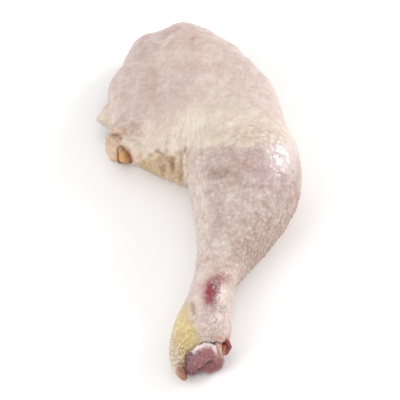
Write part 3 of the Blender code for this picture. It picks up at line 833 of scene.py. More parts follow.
# Painted shade: tan patches on the thigh, brown spots under the pleats' ends along the wall's top,
# and a darker line down a pleat.
SHADE_PATCHES = (
    Patch("tan", 0.5, (-20, 31), (10, 7), 10, 0.8),
    Patch("tan", 0.4, (32, 38), (9, 6), -30, 0.8),
    Patch("stain", 0.6, (-20.5, 23.6), (1.1, 1.1), 0, 0.6),
    Patch("stain", 0.55, (-18.3, 22.2), (1.6, 0.8), -30, 0.6),
    Patch("stain", 0.6, (-24, 22), (1.4, 0.8), 30, 0.6),
    Patch("stain", 0.5, (-15.7, 23.6), (0.8, 1.2), 0, 0.6),
    Patch("stain", 0.25, (-9.4, 22.8), (1.8, 1.1), 0, 0.6),
    Patch("stain", 0.6, (-6.9, 24.4), (0.8, 1.7), 0, 0.6),
    Patch("wall_dark", 0.3, (-16, 29), (0.9, 2.6), -12, 0.8),
)
FLAP_PATCHES = (
    Patch("flap", 0.8, (-42, 24), (4.4, 8.5), 0, 0.4),
    Patch("cream", 0.8, (-35.2, 27.6), (6, 1.7), -42, 0.7),
    Patch("flap", 0.6, (-30.6, 20.4), (3.2, 2.6), 0, 0.7),
    Patch("flap", 0.7, (-37.6, 33.4), (4.6, 1.3), 14, 0.8),
    Patch("stain", 0.5, (-38.6, 32.2), (3.4, 0.5), 14, 0.8),
    Patch("stain", 0.35, (-36, 34.4), (3.0, 0.4), -4, 0.8),
    Patch("cream", 1.0, (-45.4, 38.6), (4.4, 3.2), 20, 0.7),
    Patch("stain", 0.35, (-40.6, 29.6), (3, 1.2), 10, 0.8),
    # The pocket's brown, partly painted shade of the recess.
    Patch("hollow", 0.95, (-36.4, 21.4), (3.6, 4.6), 20, 0.3),
)

# Coloured lines: a colour, how strong it is, the stops along the line and half its width.
Line = namedtuple("Line", "colour strength stops width")
# The calf's reddish edge, and a broad band of it as painted shade over the calf's right flank.
CALF_LINES = (Line("calf_edge", 0.6, CALF_EDGE, 1.8), Line("calf_edge", 0.22, CALF_EDGE, 7))
SKIN_LINES = (Line("stain", 0.3, KNEE_MARK, 0.8), Line("flushed_pale", 0.7, HIP_STREAK, 0.9))
# Along the corner's deepest crease an orange-brown rim with painted shade in the crease, and
# painted shade along the flap's hem on the floor.
CORNER_LINES = (
    Line("rind", 0.5, CORNER_CREASE, 1.0),
    Line("stain", 0.8, CORNER_CREASE, 0.5),
    Line("stain", 0.7, FLAP_HEM, 0.6),
)

# Folds pressed into the skin: stops along a line, half its width, and its depth; raised
# where the depth is negative.
Fold = namedtuple("Fold", "stops width depth")
FOLDS = (
    Fold(CORNER_CREASE, 0.8, 1.5),
    Fold(((-39.2, 34.5), (-35, 31.5)), 1.2, 0.6),
    Fold(((-39, 29.8), (-34.2, 26.8), (-31.6, 23.8), (-30, 19.6)), 1.4, -0.8),
    Fold(((-36.4, 31), (-31, 27.4), (-28.4, 22)), 0.9, 0.7),
    Fold(((-33.5, 31), (-27, 31.4)), 0.8, 0.5),
    Fold(((-31.5, 28.6), (-26.2, 28.8)), 0.8, 0.45),
    Fold(((-29, 26), (-25, 26.2)), 0.8, 0.4),
    Fold(((-29, 20.4), (-25, 19.5), (-23, 21)), 0.8, 0.8),
    Fold(((-44.2, 28.6), (-44.8, 19)), 0.8, 0.6),
    Fold(((-44.4, 30), (-40.6, 28)), 0.9, -0.6),
    Fold(((-48, 37.5), (-42, 36.6)), 1.0, 0.5),
    Fold(((-22.4, 41.8), (-18.9, 42.1), (-16.4, 40.5), (-14.5, 38.4)), 0.9, -0.45),
    Fold(((-16.6, 26), (-15.6, 31.5)), 0.9, 0.2),
    Fold(((-7, 22), (-7.1, 8)), 1.1, -0.9),
    Fold(((-8.8, 22), (-8.8, 9)), 0.9, 0.8),
    Fold(((-13, 20), (-13.2, 13.4)), 1.1, 1.0),
    Fold(
        ((-21.5, 23.4), (-18.4, 21.6), (-15.4, 23), (-12.4, 21.9), (-9.6, 22.6), (-7, 23.6)),
        1.0,
        0.5,
    ),
    Fold(((2.2, -39.5), (4.0, -45), (6.2, -51)), 2.0, -0.7),
    Fold(((-18.5, 20), (-16.6, 12)), 1.0, 0.6),
    Fold(HIP_STREAK, 1.0, -0.5),
    Fold(((-0.5, -66.2), (6.5, -66), (12.6, -65.8)), 1.2, -0.4),
    Fold(((-24, 18.5), (-21, 12.6)), 1.0, 0.5),
    Fold(((-3.8, -50.4), (-3.2, -55)), 0.8, 0.6),
)

# Small moves in the view's plane: how far, right and up, fading out round an ellipse.
Nudge = namedtuple("Nudge", "centre radii shift")
NUDGES = (
    Nudge((-20, 82.4), (5.2, 5), (0.4, -1.9)),
    Nudge((-10, 85), (7, 5), (0, 0.9)),
    Nudge((-41.8, 60), (3, 5), (0.9, 0)),
    Nudge((-48.4, 38.6), (2.6, 2.2), (-1.9, 0.3)),
    Nudge((-47, 34.6), (2.4, 2.2), (1.0, 0.2)),
    Nudge((12.6, -66.2), (4, 2.4), (0, -2.2)),
    Nudge((-9.5, -81), (2.4, 5), (2.2, 0)),
    Nudge((1.5, -68.6), (8, 3), (0, -0.7)),
    Nudge((-3.4, -71.6), (3, 3), (0.5, -0.3)),
    Nudge((-14, 8), (9, 4), (0, 1.1)),
    Nudge((-26, 13.5), (6, 4), (0, 0.8)),
)  # waves of the hip's outline, the thin edge's tip, the skin's lip and rim at the hock, the wall
POCKET = (-36.1, 20.6)
POCKET_RADII = (5, 6.6)
POCKET_PINCH = 0.2
POCKET_FADE = (1, 2.2)  # times the radii
NUDGE_BLUR = 0.8

# Where something shows: the centre, radii, turn and blur of an ellipse, after how strong it
# is where that differs.
PLEATED = ((-10, 31), (18, 12), 15, 0.7)
SCALY = ((-9, -66), (7.5, 15), 12, 0.3)
CRINKLED_HOCK = ((-13.5, -75), (5, 12), 8, 0.6)
POCKET_MOUTH = ((-36.5, 21.5), (5.5, 7), 20, 0.3)
THIN_EDGE = ((-42, 42), (6, 10), -35, 0.6)
BUMPY_CALF = ((34, -20), (14, 16), -40, 0.6)
WET_KNEE = ((38.5, 20.5), (8.5, 9.5), 0, 0.6)
WET_SHANK = ((8.6, -44.5), (3.2, 7), 14, 0.6)
DRY_ANKLE = ((9.4, -56.6), (4, 4.6), 0, 0.6)
# Where pale flecks are painted over the bruise as its wet glints: how strong, then the ellipse.
PAINTED_GLINTS = (
    (0.6, (7.6, -41.8), (1.9, 4), 26, 0.7),
    (0.6, (8.9, -50.2), (3.0, 3.6), 30, 0.7),
)
SPECKED = (
    (0.9, (-12.5, -75.5), (6, 10.5), 8, 0.6),
    (0.65, (-6, -71.5), (4, 2.6), 35, 0.6),
    (0.35, (-18, 18), (12, 5), 0, 0.7),
)
BLED = (
    (0.9, (9.4, -38.6), (5, 3.6), 20, 0.6),
    (0.7, (5.2, -45.5), (3.8, 6.4), 8, 0.6),
)
WRINKLED = (
    (0.6, (-37, 33), (12, 7), 10, 0.7),
    (0.35, (-26, 28), (16, 8), 8, 0.7),
    (0.8, (5, -59), (11, 13), 0, 0.5),
    (0.6, (-10, -74), (6, 12), 8, 0.6),
)  # round the folded corner, over the ankle and at the hock
WET_ELSEWHERE, WET_ON_SHANK = 0.25, 0.85
SCALE_ROUNDNESS = 0.62  # a scale's radius against the spacing
THIN_EDGE_SMOOTHED = 0.6

# How high the goose bumps may be, and how much lower or higher they are in some places.
GOOSE_MOST = 1.4
LESS_ON_THIGH, LESS_ON_SCALES, LESS_ON_SHANK, LESS_AT_HIP = 0.5, 0.85, 0.5, 0.4
LESS_ON_PLEATS, LESS_ON_KNEE, MORE_ON_CALF = 0.75, 0.6, 0.35

# Noises in the skin's shape and colours: how far each goes, its size and its shift.
SWELLS = ((0.5, 13.0, 31.0), (0.24, 5.0, 37.0))
CRINKLES = ((0.5, 2.6, 41.0),)  # at the hock
PLEATS, PLEAT_HEIGHT = (1.8, 5.0), 0.75
RAGGED = ((2.4, 7.0, 3.0), (1.2, 2.6, 9.0))
SPOTTED = ((1.0, 2.4, 13.0),)
SPOTTED_WAY = (1.3, 0.8)
CLOSE = 0.3  # how far the raggedness goes where a colour's edge is rather sharp

# Fine wrinkles: the size of the noise whose zeros they follow, its shift, and their width.
CROSSED = ((4.0, 2.4, 4.0), 11.0, 0.12)
DRAWN = ((1.8, 5.5, 1.8), 23.0, 0.14)  # drawn out along the leg, as over the ankle
DRAWN_BELOW = (40, 52)  # below the middle of the view
THIGH_WRINKLES = 0.25

# Where one colour goes over into the next, in the view.
CREAM_EDGE, CREAM_STRENGTH = (-9, 3), 0.95
KNEE_SIDE = (22, 40)
KNEE_TOP = (24.6, 27.2)
KNEE_WIDENING = (4, 3)
KNEE_RAGGED, KNEE_RISE = 0.35, 3.5
DRUMSTICK_SIDE = (-8, -5)
DRUMSTICK_ALL = (0, 6)
WALL_TOP = (-1.5, 0.8)
WALL_RIGHT, WALL_LEFT, WALL_FOOT = (-7, -5.5), (-33, -29), (2, 6)
PLEATS_FOOT = (-2, 1.5)

# The same in the part's own frame: the step on the far side, and the skin that it lies on.
STEP_FACING, STEP_LENGTH, STEP_HEIGHTS, STEP_SIDE = (0.5, 0.8), (30, 36), (8, 10), (15, 20)
UNDER_FACING, UNDER_HEIGHTS = (0.1, 0.7), (4, 10)
RIM_STRENGTH, CUT_STRENGTH, UNDER_STRENGTH = 0.6, 0.85, 0.8


def on_thigh(points):
    """1 over the thigh, 0 over the drumstick, in the part's own frame."""
    return fade(points[:, 1] + THIGH_SLANT * points[:, 0], *THIGH_START)


def hip_edge(points):
    """1 along the free edge of the skin round the hip, in the part's own frame."""
    thin = 1 - fade(points[:, 2], *HIP_HEIGHTS)
    return thin * fade(points[:, 1], *HIP_START)


def fan(places):
    """How far each place is from the pleats' root, and its bearing from there in degrees."""
    away = places - np.array(PLEAT_ROOT)
    return np.hypot(away[:, 0], away[:, 1]), np.degrees(np.arctan2(away[:, 1], away[:, 0])) % 360


def pleated(places):
    """How strongly the skin is pleated: on the thigh, above its front wall."""
    return ellipse(places, *PLEATED) * over_line(places, SHOULDER, PLEATS_FOOT)


def fan_vectors(points, places):
    """A place for noise that is drawn out along the pleats."""
    radius, bearing = fan(places)
    across = np.radians(bearing) * PLEAT_STEP
    along, upright = PLEAT_DRAWN
    return np.stack((across, radius * along, points[:, 2] * upright), axis=1)


def wrinkled(places):
    """How finely wrinkled the skin is."""
    return np.maximum.reduce(spots(places, WRINKLED))


def pinch(points):
    """Draws the folded corner's pocket in, and the thin edge out, in the view's plane."""
    places = seen(points)
    shift = np.zeros((len(points), 2))
    for nudge in NUDGES:
        reach = ellipse(places, nudge.centre, nudge.radii, 0, NUDGE_BLUR)
        shift += np.outer(reach, nudge.shift)
    away = places - np.array(POCKET)
    reach = np.hypot(away[:, 0] / POCKET_RADII[0], away[:, 1] / POCKET_RADII[1])
    shift -= away * (POCKET_PINCH * (1 - fade(reach, *POCKET_FADE)))[:, None]
    return shifted(points, shift)


def creases_of(points, size, shift, width):
    """1 along thin lines where a noise crosses zero."""
    return np.exp(-((noise_over(points, size, shift) / width) ** 2))


def relief_of(points, places, depth):
    """How far the skin stands out at each point."""
    height = layered(points, SWELLS)
    pleats = noise_over(fan_vectors(points, places), *PLEATS)
    height += PLEAT_HEIGHT * depth * pleats * pleated(places)
    crossed, drawn = creases_of(points, *CROSSED), creases_of(points, *DRAWN)
    ankle = fade(-places[:, 1], *DRAWN_BELOW)
    height -= depth * wrinkled(places) * (drawn * ankle + crossed * (1 - ankle))
    height -= depth * THIGH_WRINKLES * crossed * on_thigh(points)
    height += layered(points, CRINKLES) * ellipse(places, *CRINKLED_HOCK)
    for fold in FOLDS:
        height -= fold.depth * stroke(places, fold.stops, fold.width)
    return height


def painted(tint, patches, colours, places, mask=1.0):
    for patch in patches:
        share = patch.strength * ellipse(places, *patch[2:])
        tint = mixed(tint, getattr(colours, patch.colour), share * mask)
    return tint


def drawn_on(tint, lines, colours, places):
    for line in lines:
        share = line.strength * stroke(places, line.stops, line.width)
        tint = mixed(tint, getattr(colours, line.colour), share)
    return tint


def drumstick_share(places, loose, ragged):
    """1 over the drumstick, up to the soft edge of the thigh's cream fat above the knee."""
    knee = fade(loose[:, 0], *KNEE_SIDE)
    up = places[:, 1] + KNEE_RAGGED * ragged - KNEE_RISE * knee
    low, high = KNEE_TOP
    above = fade(up, low - KNEE_WIDENING[0] * knee, high + KNEE_WIDENING[1] * knee)
    share = (1 - above) * fade(places[:, 0], *DRUMSTICK_SIDE)
    return np.maximum(share, 1 - fade(places[:, 1], *DRUMSTICK_ALL))


def wall_share(places, close):
    """1 over the thigh's front wall, between its shoulder, the drumstick and the corner."""
    beside = (1 - fade(places[:, 0], *WALL_RIGHT)) * fade(places[:, 0], *WALL_LEFT)
    below = 1 - over_line(close, SHOULDER, WALL_TOP)
    return below * beside * fade(places[:, 1], *WALL_FOOT)


def far_end_share(points, normals):
    """1 on the far side's step, where the thick skin ends, in the part's own frame."""
    facing = fade(normals[:, 1], *STEP_FACING) * fade(points[:, 1], *STEP_LENGTH)
    return facing * (1 - fade(points[:, 2], *STEP_HEIGHTS)) * fade(points[:, 0], *STEP_SIDE)


def skin_colours(points, normals, colours):
    """The skin's colour at each point, region by region."""
    places = seen(points)
    ragged = layered(points, RAGGED)
    loose = places + np.stack((ragged, -ragged), axis=1)
    close = places + CLOSE * (loose - places)
    spotted = places + np.outer(layered(points, SPOTTED), SPOTTED_WAY)

    tint = painted(one_colour(colours.thigh, len(points)), THIGH_PATCHES, colours, loose)
    below = 1 - over_line(loose, CREAM_TOP, CREAM_EDGE)
    tint = mixed(tint, colours.cream, CREAM_STRENGTH * below)
    drum = drumstick_share(places, loose, ragged)
    tint = mixed(tint, colours.drumstick, drum)
    tint = painted(tint, DRUMSTICK_PATCHES, colours, loose, drum)
    # The calf's reddish edge, and painted shade over its right flank.
    tint = drawn_on(tint, CALF_LINES, colours, close)
    tint = painted(tint, BRUISE_PATCHES, colours, spotted)
    tint = painted(tint, SHANK_PATCHES, colours, close)
    tint = drawn_on(tint, SKIN_LINES, colours, close)
    tint = painted(tint, WALL_PATCHES, colours, close, wall_share(places, close))
    # Painted shade on the thigh and under the pleats' ends.
    tint = painted(tint, SHADE_PATCHES, colours, close)
    tint = painted(tint, FLAP_PATCHES, colours, close)
    # Painted shade in the corner's crease and along the flap's hem.
    tint = drawn_on(tint, CORNER_LINES, colours, close)

    tint = mixed(tint, colours.rim, RIM_STRENGTH * hip_edge(points))
    tint = mixed(tint, colours.cut, CUT_STRENGTH * far_end_share(points, normals))
    below = fade(-normals[:, 2], *UNDER_FACING) * (1 - fade(points[:, 2], *UNDER_HEIGHTS))
    return mixed(tint, colours.under, UNDER_STRENGTH * below)


def rounded_skin(grain):
    """The leg's solid as a fine mesh, with its facets smoothed away but its thin edge, its
    pocket and its rest kept."""
    skin = new_piece("skin", merged_copy("leg"))
    refine(skin, grain)
    smooth_where(skin, fade(points_of(skin.data)[:, 1], *SLEEVE_END), FIRST_SMOOTHING)
    points = points_of(skin.data)
    places = seen(points)
    drumstick = fade(DRUMSTICK_END - points[:, 1], 0, DRUMSTICK_FADE)
    thick = fade(points[:, 1], *SLEEVE_TOP) * (1 - ellipse(places, *POCKET_MOUTH))
    thick *= np.maximum(fade(points[:, 2], *THICK_HEIGHTS), drumstick)
    thick = np.maximum(thick, THIN_EDGE_SMOOTHED * ellipse(places, *THIN_EDGE))
    smooth_where(skin, thick * fade(points[:, 2], *REST_HEIGHTS), SKIN_SMOOTHING)
    set_points(skin.data, pinch(points_of(skin.data)))
    return skin


def skin_masks(points, places):
    """Where the skin has bumps, scales, specks, blood, gloss, painted glints and creases."""
    off_rest = fade(points[:, 2], *OFF_REST_HEIGHTS)
    scaly = ellipse(places, *SCALY) * off_rest
    knee = ellipse(places, *WET_KNEE)
    goose = (1 - LESS_ON_THIGH * on_thigh(points)) * (1 - LESS_ON_SCALES * scaly)
    goose *= fade(points[:, 2], *BUMP_HEIGHTS)
    shank = fade(-points[:, 1], *SHANK_BARE)
    goose *= 1 - LESS_ON_SHANK * shank - LESS_AT_HIP * hip_edge(points)
    goose *= 1 + MORE_ON_CALF * ellipse(places, *BUMPY_CALF)
    goose *= (1 - LESS_ON_PLEATS * pleated(places)) * (1 - LESS_ON_KNEE * knee)
    wet = WET_ELSEWHERE * (1 - ellipse(places, *DRY_ANKLE))
    return {
        "goose": np.clip(goose, 0, GOOSE_MOST),
        "scaly": scaly,
        "specked": np.clip(sum(spots(places, SPECKED)), 0, 1),
        "bled": np.clip(sum(spots(places, BLED)), 0, 1),
        "wet": np.maximum.reduce((wet, knee, WET_ON_SHANK * ellipse(places, *WET_SHANK))),
        "torn": np.maximum.reduce(spots(places, PAINTED_GLINTS)),
        "wrinkled": wrinkled(places) * off_rest,
        "pleated": pleated(places) * off_rest,
    }


def make_skin(sizes, colours):
    skin = rounded_skin(sizes.skin_grain)
    points, normals = points_of(skin.data), normals_of(skin.data)
    places = seen(points)
    relief = relief_of(points, places, sizes.wrinkle_depth / MM)
    points += normals * (relief * fade(points[:, 2], *RELIEF_HEIGHTS))[:, None]
    points[:, 2] = np.maximum(points[:, 2], 0)
    set_points(skin.data, points)
    for name, values in skin_masks(points, places).items():
        store(skin.data, name, values)
    store(skin.data, "fan", fan_vectors(points, places), "FLOAT_VECTOR", "vector")
    store_colour(skin.data, skin_colours(points, normals, colours))

    material = flesh_material("moist skin", skin_paint, SKIN_FINISH, wet="wet")
    tree = bump_tree()
    scale_width = sizes.scale_spacing * SCALE_ROUNDNESS
    bumps = (
        ("goose", "follicle", sizes.follicle_spacing, sizes.follicle_width, sizes.follicle_height),
        ("scaly", "scale", sizes.scale_spacing, scale_width, sizes.scale_height),
    )
    for number, (where, result, spacing, radius, height) in enumerate(bumps):
        scatter_bumps(
            skin,
            tree,
            Spacing=spacing,
            Radius=radius,
            Height=height,
            Where=where,
            Result=result,
            Seed=sizes.seed + number,
            Material=material,
        )
    finish_piece(skin, "leg", material)


# The flesh


MEAT_GRAIN = 0.9
MEAT_SMOOTHING = 8
FIBRES = (0.35, (2.2, 16.0, 2.2), 61.0)  # how far they go, their size and their noise's shift
LOBES = (0.5, (14.0, 30.0, 12.0), 67.0)
FAT_FILMS = (0.55, (9.0, 16.0, 9.0), 71.0)
FAT_FILM_EDGE = (0.0, 0.6)
LOBE_SEAM, LOBE_SEAM_STRENGTH = (0.02, 0.2), 0.8
UNDERCUT_FACING = (0.3, 0.8)
UNDERCUT, UNDERCUT_BY_FIBRES = 0.5, 0.7


def make_thigh_meat(colours):
    meat = new_piece("thigh_muscle", merged_copy("thigh_meat"))
    refine(meat, MEAT_GRAIN * MM)
    smooth_where(meat, np.ones(len(meat.data.vertices)), MEAT_SMOOTHING)
    points, normals = points_of(meat.data), normals_of(meat.data)
    fibres, lobes = noise_over(points, *FIBRES[1:]), np.abs(noise_over(points, *LOBES[1:]))
    outside = np.hypot(normals[:, 0], normals[:, 1])
    relief = (FIBRES[0] * fibres - LOBES[0] * lobes) * outside
    points += normals * relief[:, None]
    under = fade(-normals[:, 2], *UNDERCUT_FACING)
    points[:, 2] += under * np.maximum(0, UNDERCUT + UNDERCUT_BY_FIBRES * fibres)
    points[:, 2] = np.maximum(points[:, 2], 0)
    set_points(meat.data, points)

    tint = one_colour(colours.meat, len(points))
    tint = mixed(tint, colours.meat_dark, LOBE_SEAM_STRENGTH * (1 - fade(lobes, *LOBE_SEAM)))
    film = fade(noise_over(points, *FAT_FILMS[1:]), *FAT_FILM_EDGE)
    store_colour(meat.data, mixed(tint, colours.meat_fat, FAT_FILMS[0] * film))
    material = flesh_material("moist meat", meat_paint, MEAT_FINISH)
    finish_piece(meat, "thigh_meat", material)


GRISTLE = ((-3.2, -72.8), (-1, -71.2), (2, -69.9), (4.7, -69.6), (6.9, -70.8), (8.4, -73))
GROOVE = ((5.6, -68.2), (7.4, -69.9), (8.6, -72.2), (8.9, -75))
CLEFT = ((-0.6, -82.6), (2.1, -80.9), (4.6, -78.8), (5.8, -78.2))
KNUCKLE_PATCHES = (
    Patch("knuckle", 1.0, (1.0, -77.6), (10, 7), 12, 0.3),
    Patch("knuckle_pale", 0.85, (-5.4, -78.8), (3.2, 5.2), 0, 0.6),
    Patch("knuckle_red", 0.85, (6.4, -80.0), (4.8, 3), 25, 0.6),
    Patch("knuckle_red", 0.8, (9.4, -68.8), (3.4, 1.1), -8, 0.7),
    Patch("knuckle_pale", 0.5, (7.4, -77.2), (2.6, 1.2), 20, 0.8),
    Patch("knuckle_red", 0.8, (-3.5, -83.6), (5, 1.4), -5, 0.7),
    Patch("knuckle_dark", 0.8, (-4.2, -74.6), (0.9, 0.8), 40, 0.6),
    Patch("knuckle_pale", 0.8, (-0.8, -76.2), (1.5, 0.9), 20, 0.8),
    Patch("knuckle_pale", 0.7, (2.6, -76.8), (2.6, 0.8), -15, 0.8),
    Patch("peach", 0.9, (9.8, -71.6), (2.2, 4), 0, 0.5),
)
KNUCKLE_LINES = (
    Line("gristle", 0.95, GRISTLE, 1.45),
    # The groove's grey is painted shade.
    Line("groove", 0.8, GROOVE, 0.6),
    Line("knuckle_dark", 0.85, CLEFT, 0.6),
)
BONE_SWELLS = ((0.5, 2.6, 81.0), (0.25, 1.1, 83.0))
BONE_EDGES = ((0.5, 1.6, 85.0),)
BONE_GRAIN_SIZE = 0.42
BONE_SMOOTHING = 10
BONE_END = (-104, -96)  # along the leg: the cut end, which isn't smoothed
BONE_SHOWN = (-96, -90)  # further up than this the bone is left plain, inside the flesh
UPPER_GRISTLE = (-78, -74)
CLEFT_WIDTH, GRISTLE_WIDTH, GROOVE_WIDTH = 0.8, 1.2, 0.6
CLEFT_DEPTH, GRISTLE_HEIGHT, GROOVE_DEPTH = 1.0, 0.5, 0.7
CLEAR_OF_FLOOR = 0.1


def make_knuckle(colours):
    bone = new_piece("knuckle", merged_copy("shank_bone"))
    refine(bone, BONE_GRAIN_SIZE * MM)
    smooth_where(bone, fade(points_of(bone.data)[:, 1], *BONE_END), BONE_SMOOTHING)
    points, normals = points_of(bone.data), normals_of(bone.data)
    places = seen(points)
    arc = stroke(places, GRISTLE, GRISTLE_WIDTH) * fade(places[:, 1], *UPPER_GRISTLE)
    relief = GRISTLE_HEIGHT * arc - CLEFT_DEPTH * stroke(places, CLEFT, CLEFT_WIDTH)
    relief -= GROOVE_DEPTH * stroke(places, GROOVE, GROOVE_WIDTH)
    relief += layered(points, BONE_SWELLS)
    points += normals * (relief * (1 - fade(points[:, 1], *BONE_SHOWN)))[:, None]
    points[:, 2] = np.maximum(points[:, 2], CLEAR_OF_FLOOR)
    set_points(bone.data, points)

    close = places + layered(points, BONE_EDGES)[:, None]
    tint = painted(one_colour(colours.film, len(points)), KNUCKLE_PATCHES, colours, close)
    store_colour(bone.data, drawn_on(tint, KNUCKLE_LINES, colours, close))
    material = flesh_material("cut bone", knuckle_paint, BONE_FINISH)
    finish_piece(bone, "shank_bone", material)


# Lumps: the noise's shift, how rough they are, the middle that they are stretched from, how
# much wider and higher they get, how far they lean to the left below, how far they are moved,
# all in the view's plane, and their patches of colour.
Lump = namedtuple("Lump", "name node slot seed roughness centre stretch lean shift patches")
TENDON = Lump(
    name="tendon_scrap",
    node="hock_scrap",
    slot="tendon",
    seed=91.0,
    roughness=0.6,
    centre=(17.6, -70.6),
    stretch=(0.23, -0.22),
    lean=0.3,
    shift=(0, 0),
    patches=(
        Patch("tendon_pale", 0.9, (10.4, -71), (1.9, 8), 0, 0.35),
        Patch("tendon_dark", 0.9, (11.8, -69.4), (1.6, 1.2), -30, 0.7),
        Patch("tendon_dark", 0.8, (14, -71.4), (2, 4), 0, 0.7),
    ),
)
FAT = Lump(
    name="fat_lump",
    node="thigh_fat",
    slot="fat",
    seed=97.0,
    roughness=0.2,
    centre=(-36.4, 21),
    stretch=(0.27, -0.16),
    lean=0,
    shift=(-0.35, 0.9),
    patches=(
        # The lump's shaded top and its right side under the fold are painted shade.
        Patch("fat_grey", 1.0, (-36.2, 26.6), (4.6, 4), 20, 0.8),
        Patch("fat_dark", 0.9, (-32.8, 21.4), (3.4, 7), 25, 0.8),
    ),
)
LUMP_GRAIN = 0.3
LUMP_NOISE = ((1.0, 2.4, 0.0), (0.5, 1.0, 3.0))  # how far, size, and shift beside the lump's
LUMP_EDGES = 0.6
LEAN_START = 1  # below the middle


def make_lump(lump, tint, colours):
    """A small soft lump with an uneven outline, coloured as the camera sees it."""
    piece = new_piece(lump.name, merged_copy(lump.node))
    refine(piece, LUMP_GRAIN * MM)
    points, normals = points_of(piece.data), normals_of(piece.data)
    uneven = layered(points, [(far, size, lump.seed + more) for far, size, more in LUMP_NOISE])
    away = seen(points) - lump.centre
    shift = away * lump.stretch + lump.shift
    shift[:, 0] += lump.lean * np.minimum(away[:, 1] + LEAN_START, 0)
    points = shifted(points, shift) + normals * (lump.roughness * uneven)[:, None]
    points[:, 2] = np.maximum(points[:, 2], CLEAR_OF_FLOOR)
    set_points(piece.data, points)

    close = seen(points) + LUMP_EDGES * uneven[:, None]
    tints = painted(one_colour(tint, len(points)), lump.patches, colours, close)
    store_colour(piece.data, tints)
    material = flesh_material(lump.name + " finish", lump_paint, LUMP_FINISH)
    finish_piece(piece, lump.node, material)


# The stage


FLOOR_REACH = 2500  # from its middle to each side
FLOOR_PARTS = 24
FLOOR_ROUGHNESS, FLOOR_SHINE = 0.9, 0.1
FLOOR_CLOUD, FLOOR_CLOUD_SHARE = 400.0, 0.04
FLOOR_CLOUD_TONE = (0.9, 0.9, 0.9, 1)
SENSOR = 36
SEEN_FROM, SEEN_TO = 50, 20000

# Lamps, each aimed at the leg: its place, its size and the colour of its light. Each one's
# power is the stage's setting of that name.
Lamp = namedtuple("Lamp", "name place size tone")
LAMPS = (
    Lamp("key", (740, 420, 420), 420, (1.0, 0.98, 0.96)),
    Lamp("fill", (-620, -420, 520), 600, (1.0, 1.0, 1.0)),
    Lamp("top", (-60, 60, 900), 700, (1.0, 1.0, 1.0)),
)


def make_floor(colour):
    bm = bmesh.new()
    bmesh.ops.create_grid(
        bm, x_segments=FLOOR_PARTS, y_segments=FLOOR_PARTS, size=FLOOR_REACH * MM
    )
    mesh = bpy.data.meshes.new("floor")
    bm.to_mesh(mesh)
    bm.free()
    floor = new_piece("floor", mesh)
    material = bpy.data.materials.new("plain floor")
    material.use_nodes = True
    t = Tree(material.node_tree)
    shader = material.node_tree.nodes["Principled BSDF"]
    shader.inputs["Roughness"].default_value = FLOOR_ROUGHNESS
    shader.inputs["Specular IOR Level"].default_value = FLOOR_SHINE
    cloud = product(t, object_noise(t, FLOOR_CLOUD, 1.0), FLOOR_CLOUD_SHARE)
    tone = mix_colour(t, cloud, (*colour, 1), FLOOR_CLOUD_TONE)
    t.tree.links.new(tone, shader.inputs["Base Color"])
    floor.data.materials.append(material)


def aim(obj, place):
    """Puts a lamp or the camera at a place in millimetres, looking at the leg."""
    obj.location = Vector(place) * MM
    ahead = Vector(LOOK_AT) * MM - obj.location
    obj.rotation_mode = "QUATERNION"
    obj.rotation_quaternion = ahead.to_track_quat("-Z", "Y")
    bpy.context.scene.collection.objects.link(obj)


def add_lamp(lamp, power):
    data = bpy.data.lights.new(lamp.name, "AREA")
    data.size = lamp.size * MM
    data.energy = power
    data.color = lamp.tone
    aim(bpy.data.objects.new(lamp.name, data), lamp.place)


def add_camera():
    data = bpy.data.cameras.new("camera")
    data.sensor_width = SENSOR
    data.lens = SENSOR * CAMERA_DISTANCE / VIEW_WIDTH
    data.clip_start = SEEN_FROM * MM
    data.clip_end = SEEN_TO * MM
    camera = bpy.data.objects.new("camera", data)
    aim(camera, LOOK_AT + VIEW_BACK * CAMERA_DISTANCE)
    bpy.context.scene.camera = camera


def make_world(strength):
    world = bpy.data.worlds.new("studio")
    bpy.context.scene.world = world
    world.use_nodes = True
    background = world.node_tree.nodes["Background"]
    background.inputs["Color"].default_value = (1.0, 1.0, 1.0, 1)
    background.inputs["Strength"].default_value = strength


# One operator for each piece


class LEG_OT_skin(bpy.types.Operator):
    """Makes the skin with its wrinkles, goose bumps and colours"""

    bl_idname = "leg_quarter.skin"
    bl_label = "Skin"

    def execute(self, context):
        scene = context.scene
        make_skin(scene.leg_sizes, scene.leg_skin_colours)
        return {"FINISHED"}


class LEG_OT_meat(bpy.types.Operator):
    """Makes the bare thigh meat under the skin's free edge"""

    bl_idname = "leg_quarter.meat"
    bl_label = "Thigh meat"

    def execute(self, context):
        make_thigh_meat(context.scene.leg_flesh_colours)
        return {"FINISHED"}


class LEG_OT_knuckle(bpy.types.Operator):
    """Makes the cut knuckle and the shin bone behind it"""

    bl_idname = "leg_quarter.knuckle"
    bl_label = "Knuckle"

    def execute(self, context):
        make_knuckle(context.scene.leg_flesh_colours)
        return {"FINISHED"}


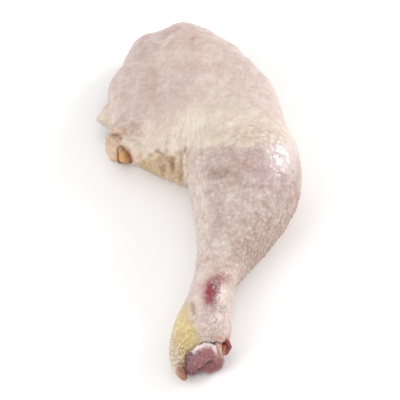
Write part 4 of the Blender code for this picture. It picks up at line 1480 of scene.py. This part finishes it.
class LEG_OT_lumps(bpy.types.Operator):
    """Makes the tendon scrap at the hock and the fat in the folded corner"""

    bl_idname = "leg_quarter.lumps"
    bl_label = "Tendon and fat"

    def execute(self, context):
        colours = context.scene.leg_flesh_colours
        make_lump(TENDON, colours.tendon, colours)
        make_lump(FAT, colours.fat, colours)
        return {"FINISHED"}


class LEG_OT_stage(bpy.types.Operator):
    """Makes the floor, the lights and the camera"""

    bl_idname = "leg_quarter.stage"
    bl_label = "Stage"

    def execute(self, context):
        stage = context.scene.leg_stage
        make_floor(stage.floor)
        make_world(stage.sky)
        for lamp in LAMPS:
            add_lamp(lamp, getattr(stage, lamp.name))
        add_camera()
        context.scene.view_settings.view_transform = "Standard"
        return {"FINISHED"}


class LEG_PT_panel(bpy.types.Panel):
    bl_idname = "LEG_PT_panel"
    bl_label = "Raw Chicken Leg Quarter"
    bl_space_type = "VIEW_3D"
    bl_region_type = "UI"
    bl_category = "Leg Quarter"

    def draw(self, context):
        scene = context.scene
        for group in (scene.leg_sizes, scene.leg_skin_colours, scene.leg_flesh_colours):
            for name in group.__annotations__:
                self.layout.prop(group, name)
        for operator in OPERATORS:
            self.layout.operator(operator.bl_idname)
        for name in scene.leg_stage.__annotations__:
            self.layout.prop(scene.leg_stage, name)


SETTINGS = {
    "leg_sizes": LegSizes,
    "leg_skin_colours": SkinColours,
    "leg_flesh_colours": FleshColours,
    "leg_stage": StageSettings,
}
OPERATORS = (LEG_OT_stage, LEG_OT_skin, LEG_OT_meat, LEG_OT_knuckle, LEG_OT_lumps)


def register():
    for kind in (*SETTINGS.values(), *OPERATORS, LEG_PT_panel):
        bpy.utils.register_class(kind)
    for name, kind in SETTINGS.items():
        setattr(bpy.types.Scene, name, PointerProperty(type=kind))


def unregister():
    for name in SETTINGS:
        delattr(bpy.types.Scene, name)
    for kind in (LEG_PT_panel, *reversed(OPERATORS), *reversed(tuple(SETTINGS.values()))):
        bpy.utils.unregister_class(kind)


def main():
    register()
    bpy.ops.leg_quarter.stage()
    bpy.ops.leg_quarter.skin()
    bpy.ops.leg_quarter.meat()
    bpy.ops.leg_quarter.knuckle()
    bpy.ops.leg_quarter.lumps()


if __name__ == "__main__":
    main()
